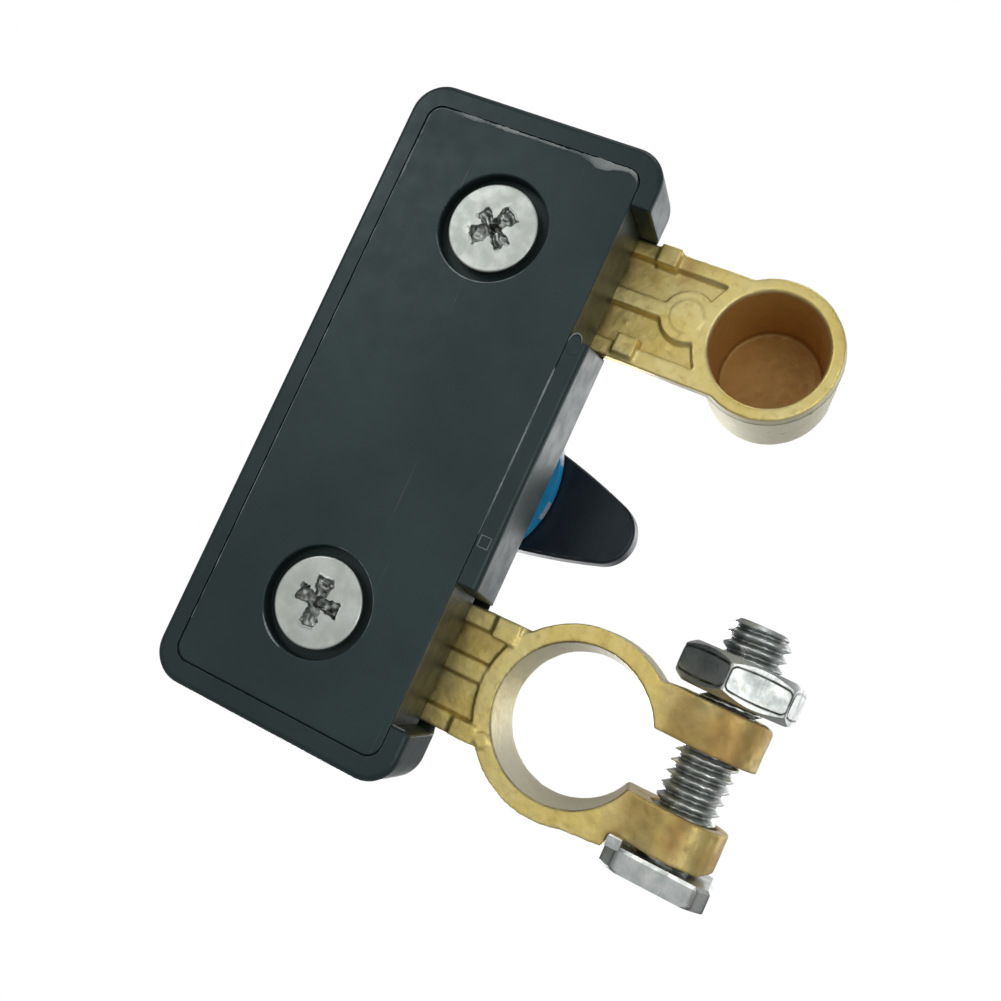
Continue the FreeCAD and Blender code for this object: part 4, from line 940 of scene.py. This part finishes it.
def make_long_edges():
    """Wear along the cover's -Y edge, and a thread of flash in the middle of its +Y edge."""
    low, high = box_mm("back_cover")
    xs = np.linspace(low.x + WEAR_ENDS_MM, high.x - WEAR_ENDS_MM, 160)
    worn = 0.035 + 0.03 * line_noise(xs, 1.4, 64)
    widths = np.maximum(worn, LEAST_RIDGE_MM)
    heights = np.maximum(0.6 * worn, LEAST_RIDGE_MM)
    ridge("long_edge_wear", "cover_plastic", points_at(xs, low.y + 0.16, low.z + 0.01), widths, heights)

    # a thread of flash along the rim, painted pale, partly as a painted highlight
    xs = np.linspace(*SEAM_SPAN_MM, 90)
    rough = line_noise(xs, 0.5, 63)
    ends = fade_in_out(xs, *SEAM_SPAN_MM, 3.2, 0.7)
    widths = 0.03 + 0.09 * ends * (1 + 0.4 * rough)
    heights = 0.02 + 0.06 * ends * (1 + rough)
    ridge("seam_flash", "cover_plastic", points_at(xs, high.y - 0.05, low.z + 0.02), widths, heights)


BORE_MOUTH_R = 7.06          # where the rounded mouth of a screw hole meets the cover's face
HIGHLIGHT_ARCS = (                # painted highlights: screw (0 is on the +X side), start and end in degrees, width in millimetres
    (0, 248.0, 118.0, 0.075),
    (1, 238.0, 196.0, 0.12),
    (1, 130.0, -20.0, 0.035),
)
ARC_POINTS = 120


def make_bore_edges():
    """A thin raised lip round part of each screw hole's mouth in the cover, painted pale as a highlight on
    its rounded edge.
    """
    centres, _ = screw_places()
    swell = np.sin(np.linspace(0, math.pi, ARC_POINTS)) ** 0.5
    for index, (screw, start_deg, end_deg, width) in enumerate(HIGHLIGHT_ARCS):
        places = arc_points(centres[screw], BORE_MOUTH_R, start_deg, end_deg, ARC_POINTS)
        path = np.array([(x, y, 0.01) for x, y in places])
        rough = line_noise(np.arange(ARC_POINTS) * 0.12, 0.5, 71 + index)
        widths = np.maximum(width * swell * (1.0 + 0.4 * rough), 0.008)
        ridge(f"bore_edge_{index + 1}", "cover_plastic", path, widths, 0.5 * widths)


RIM_END_CENTRE_MM = (15.75, 15.42)
RIM_END_RADII_MM = (1.45, 0.92)
RIM_END_LEVELS = (           # share of the radii, height
    (1.0, 0.9), (1.0, 0.10), (0.985, 0.02), (0.95, -0.07), (0.90, -0.12), (0.85, -0.10), (0.80, -0.03),
    (0.70, 0.03), (0.45, 0.03), (0.2, 0.03),
)
LIP_POINTS = 40
GATE_LOW_MM = (-10.5, 14.9)
GATE_HIGH_MM = (-9.1, 16.2)
SLOT_EDGE_X_MM = -33.25
SLOT_EDGE_Y_MM = (14.7, 16.3)    # across the rim


def make_rim_end():
    """The rim's rounded end beside the post's slot, raised on the side towards the slot."""
    turns = full_turn(72)
    towards_slot = smooth_step(np.cos(turns), -0.15, 0.45)
    (centre_x, centre_y), (radius_x, radius_y) = RIM_END_CENTRE_MM, RIM_END_RADII_MM
    rings = []
    for share, z in RIM_END_LEVELS:
        height = np.where(z < 0.02, z * towards_slot - 0.03 * (1.0 - towards_slot), z)
        ring_x = centre_x + radius_x * share * np.cos(turns)
        ring_y = centre_y + radius_y * share * np.sin(turns)
        rings.append(points_at(ring_x, ring_y, height))
    vertices, faces = closed_skin(rings, (*RIM_END_CENTRE_MM, 0.9), (*RIM_END_CENTRE_MM, 0.03))
    finish_piece(add_piece("rim_end", vertices, faces, "housing_body", 60.0), "housing_plastic")

    # painted highlight: a pale lip along the rounded end's arch
    lip = []
    for turn in np.radians(np.linspace(-85.0, 80.0, LIP_POINTS)):
        x = centre_x + radius_x * 0.9 * math.cos(turn)
        lip.append((x, centre_y + radius_y * 0.9 * math.sin(turn), -0.10))
    swell = np.sin(np.linspace(0, math.pi, LIP_POINTS))
    ridge("rim_end_lip", "housing_plastic", lip, 0.03 + 0.07 * swell, 0.02 + 0.035 * swell)


def make_rim_marks():
    """A square gate mark on the rim, and a raised pale edge at the clamp's slot, a painted highlight."""
    (x0, y0), (x1, y1) = GATE_LOW_MM, GATE_HIGH_MM
    corners = [(x0, y0), (x1, y0), (x1, y1), (x0, y1), (x0, y0)]
    path = []
    for (start_x, start_y), (end_x, end_y) in zip(corners, corners[1:]):
        for t in np.linspace(0, 1, 12)[:-1]:
            path.append((start_x + (end_x - start_x) * t, start_y + (end_y - start_y) * t, 0.02))
    ridge("gate_mark", "housing_plastic", path, np.full(len(path), 0.06), np.full(len(path), 0.04))

    # painted highlight: a pale line along the edge of the clamp's slot
    ys = np.linspace(*SLOT_EDGE_Y_MM, 16)
    ridge("slot_edge_lip", "housing_plastic", points_at(SLOT_EDGE_X_MM, ys, 0.03),
          np.full_like(ys, 0.09), np.full_like(ys, 0.06))


# ---- dial markings -------------------------------------------------------------------------------
PRINT_MM = 0.04              # how far printed marks stand out from their surface
BAR_MM = (0.35, 10.6, 13.6)  # half width, inner and outer radius of each "I"
TICK_MM = (0.2, 13.2, 14.2)
TICK_STEP_DEG = 15
ZERO_AT_MM = 12.1            # radius at which each "0" stands
ZERO_RADII_MM = (1.35, 1.6)
ZERO_INNER = (0.62, 0.68)    # its opening, as shares of those radii
ZERO_POINTS = 32
PATCH_HALF_MM = 1.3          # half width of each patch on the dial's side
PATCH_ENDS_MM = (2.6, 0.8)   # its distance from the dial's two ends
PATCH_STEP_DEG = 30
PATCH_FIRST_DEG = 8


def print_patch(outline, to_place):
    """A thin printed shape: a flat polygon and the same one a little way in, put in place by to_place."""
    count = len(outline)
    vertices = [to_place(u, v, rise) for rise in (PRINT_MM, -PRINT_MM) for u, v in outline]
    faces = [tuple(range(count)), tuple(range(2 * count - 1, count - 1, -1))]
    for i in range(count):
        j = (i + 1) % count
        faces.append((i, i + count, j + count, j))
    return vertices, faces


def upright_bar(half_width, inner, outer):
    return [(-half_width, inner), (half_width, inner), (half_width, outer), (-half_width, outer)]


def zero_outlines():
    """The pieces of a "0", one for each step round it."""
    radius_u, radius_v = ZERO_RADII_MM
    outer = [(radius_u * math.cos(a), ZERO_AT_MM + radius_v * math.sin(a)) for a in full_turn(ZERO_POINTS)]
    for a, b in zip(outer, outer[1:] + outer[:1]):
        inner = [(u * ZERO_INNER[0], ZERO_AT_MM + (v - ZERO_AT_MM) * ZERO_INNER[1]) for u, v in (b, a)]
        yield [a, b] + inner


def make_dial_marks():
    """The "I" and "0" marks and the ticks printed on the dial's face, and the patches on its side."""
    low, high = box_mm("dial")
    radius = (high.x - low.x) / 2
    vertices, faces = [], []

    def add(outline, to_place):
        new_vertices, new_faces = print_patch(outline, to_place)
        start = len(vertices)
        vertices.extend(new_vertices)
        faces.extend([tuple(index + start for index in face) for face in new_faces])

    def on_top(turn_deg):
        turn = math.radians(turn_deg)

        def place(u, v, rise):
            x = v * math.cos(turn) - u * math.sin(turn)
            y = v * math.sin(turn) + u * math.cos(turn)
            return (x, y, high.z + rise)
        return place

    def on_side(turn_deg):
        def place(u, v, rise):
            turn = math.radians(turn_deg) + u / radius
            return ((radius + rise) * math.cos(turn), (radius + rise) * math.sin(turn), v)
        return place

    for turn_deg in (0, 180):
        add(upright_bar(*BAR_MM), on_top(turn_deg))
    for turn_deg in (90, 270):
        for outline in zero_outlines():
            add(outline, on_top(turn_deg))
    for turn_deg in range(0, 360, TICK_STEP_DEG):
        if turn_deg % 90:
            add(upright_bar(*TICK_MM), on_top(turn_deg))
    side_low, side_high = low.z + PATCH_ENDS_MM[0], high.z - PATCH_ENDS_MM[1]
    strips = np.linspace(-PATCH_HALF_MM, PATCH_HALF_MM, 9)
    for turn_deg in range(PATCH_FIRST_DEG, 360 + PATCH_FIRST_DEG, PATCH_STEP_DEG):
        for left, right in zip(strips, strips[1:]):
            strip = [(left, side_low), (right, side_low), (right, side_high), (left, side_high)]
            add(strip, on_side(turn_deg))
    marks = add_piece("dial_marks", vertices, faces, "housing_body", 30.0)
    finish_piece(marks, "dial_plastic", look="white_print")


def paint_nodes():
    """Gives each CAD node the material of the slot that the record names for it."""
    slots = {entry["node"]: entry["material_slot"] for entry in frame["record"]["subparts"]}
    for name, node in NODES.items():
        node.data.materials.clear()
        node.data.materials.append(MATERIALS[slots[name]])


# ---- camera, light and floor ---------------------------------------------------------------------
CAMERA_PLACE_MM = (-12.12, 52.76, -127.92)
CAMERA_AIM_MM = (-4.585, 15.21, 0.0)
CAMERA_ROLL_DEG = 24.67      # turned clockwise from having the dummy post's side of the case upright
CAMERA_LENS_MM = 41.27


def make_camera():
    """Looks at the switch's back from beyond its terminals, rolled so that the case leans to the left."""
    camera = new_object("camera", bpy.data.cameras.new("camera"))
    place = Vector(CAMERA_PLACE_MM) * MM
    forward = (Vector(CAMERA_AIM_MM) * MM - place).normalized()
    level = Vector((1, 0, 0))
    level = (level - forward * level.dot(forward)).normalized()
    up = Matrix.Rotation(-math.radians(CAMERA_ROLL_DEG), 3, forward) @ level
    right = forward.cross(up)
    camera.matrix_world = Matrix.Translation(place) @ Matrix((right, up, -forward)).transposed().to_4x4()
    camera.data.lens = CAMERA_LENS_MM
    camera.data.clip_start = 1 * MM
    bpy.context.scene.camera = camera


BACKGROUND = 1.0             # brightness of what the camera sees behind the object
ROOM_LIGHT = 0.28            # the room's light from every side
SOFT_BOXES = (               # direction from the object, middle's and edge's radius in degrees, strength
    ((0.04, -0.42, -0.90), 4.0, 22.0, 0.38),
    ((0.26, -0.03, -0.965), 5.0, 17.0, 0.52),
    ((-0.12, -0.06, -0.99), 5.0, 18.0, 0.42),
    ((0.0, 0.53, -0.85), 8.0, 24.0, 1.75),
    ((0.98, -0.03, -0.20), 5.0, 22.0, 1.80),
    ((0.13, 0.28, 0.95), 3.0, 16.0, 1.60),
    ((0.38, 0.14, 0.91), 7.0, 20.0, 0.95),
    ((-0.34, -0.24, 0.91), 8.0, 24.0, 0.60),
    ((0.20, 0.80, 0.55), 12.0, 34.0, 1.20),
)


def make_world():
    """White behind the object, and a soft studio all round it for its light and its reflections."""
    world = bpy.data.worlds.new("studio")
    bpy.context.scene.world = world
    t = NodeTree(world)
    direction = t.add("TexCoord").outputs["Generated"]
    light = ROOM_LIGHT
    for aim, middle_deg, edge_deg, strength in SOFT_BOXES:
        aimed = Vector(aim).normalized()
        facing = t.add("VectorMath", {0: direction, 1: aimed}, operation="DOT_PRODUCT").outputs["Value"]
        edge = math.cos(math.radians(edge_deg))
        middle = math.cos(math.radians(middle_deg))
        light = t.math("ADD", light, t.band(facing, edge, middle, 0.0, strength))
    seen = t.add("LightPath").outputs["Is Camera Ray"]
    strength = t.add("Mix", {0: seen, 2: light, 3: BACKGROUND}, data_type="FLOAT").outputs[0]
    studio = t.add("Background", {"Color": (1.0, 1.0, 1.0, 1.0), "Strength": strength})
    t.tree.links.new(studio.outputs[0], t.add("OutputWorld").inputs["Surface"])


LAMPS = (                    # name, place in millimetres, size in millimetres, watts
    ("key_lamp", (160, -260, -330), 160, 0.2),
    ("top_lamp", (-220, -180, 420), 220, 1.4),
)


def make_lamps():
    """Two soft lamps, one on each side of the object, aimed at it."""
    for name, place_mm, size_mm, watts in LAMPS:
        lamp = bpy.data.lights.new(name, "AREA")
        lamp.size = size_mm * MM
        lamp.energy = watts
        holder = new_object(name, lamp)
        place = Vector(place_mm) * MM
        aim = (Vector(CAMERA_AIM_MM) * MM - place).to_track_quat("-Z", "Y")
        holder.matrix_world = Matrix.Translation(place) @ aim.to_matrix().to_4x4()


FLOOR_HALF_MM = 700.0
FLOOR_FADE_MM = (180.0, 620.0)   # the floor fades out between these distances from its middle
FLOOR_DROP_MM = 0.3          # below the CAD model, clear of the flash on its back
FLOOR_COLOUR = (0.86, 0.86, 0.85, 1.0)


def make_floor():
    """A pale floor under the object. It shows from above only, and fades out before its edge."""
    x = (CAD_LOW[0] + CAD_HIGH[0]) / 2
    y = (CAD_LOW[1] + CAD_HIGH[1]) / 2
    z = CAD_LOW[2] - FLOOR_DROP_MM * MM
    half = FLOOR_HALF_MM * MM
    corners = [(x + half * u, y + half * v, z) for u, v in ((-1, -1), (1, -1), (1, 1), (-1, 1))]
    mesh = bpy.data.meshes.new("floor")
    mesh.from_pydata(corners, [], [(0, 1, 2, 3)])
    floor = new_object("floor", mesh)
    for ray in ("diffuse", "glossy", "transmission", "shadow"):
        setattr(floor, "visible_" + ray, False)
    material = bpy.data.materials.new("floor")
    t = NodeTree(material)
    offset = t.add("VectorMath", {0: t.add("TexCoord").outputs["Object"], 1: (x, y, z)}, operation="DISTANCE")
    near, far = [distance * MM for distance in FLOOR_FADE_MM]
    away = t.band(offset.outputs["Value"], near, far)
    hidden = t.math("MAXIMUM", t.add("NewGeometry").outputs["Backfacing"], away)
    paper = t.add("BsdfDiffuse", {"Color": FLOOR_COLOUR}).outputs[0]
    clear = t.add("BsdfTransparent").outputs[0]
    shown = t.add("MixShader", {0: hidden, 1: paper, 2: clear}).outputs[0]
    t.tree.links.new(shown, t.add("OutputMaterial").inputs["Surface"])
    mesh.materials.append(material)


# ---- the scene -----------------------------------------------------------------------------------
make_castings()
make_contact_spring()
make_bolt()
make_nut()
make_screws()
make_cover_flash()
make_long_edges()
make_bore_edges()
make_rim_end()
make_rim_marks()
make_dial_marks()

bpy.context.scene.view_settings.view_transform = "Standard"
make_camera()
make_world()
make_lamps()
make_floor()
paint_nodes()
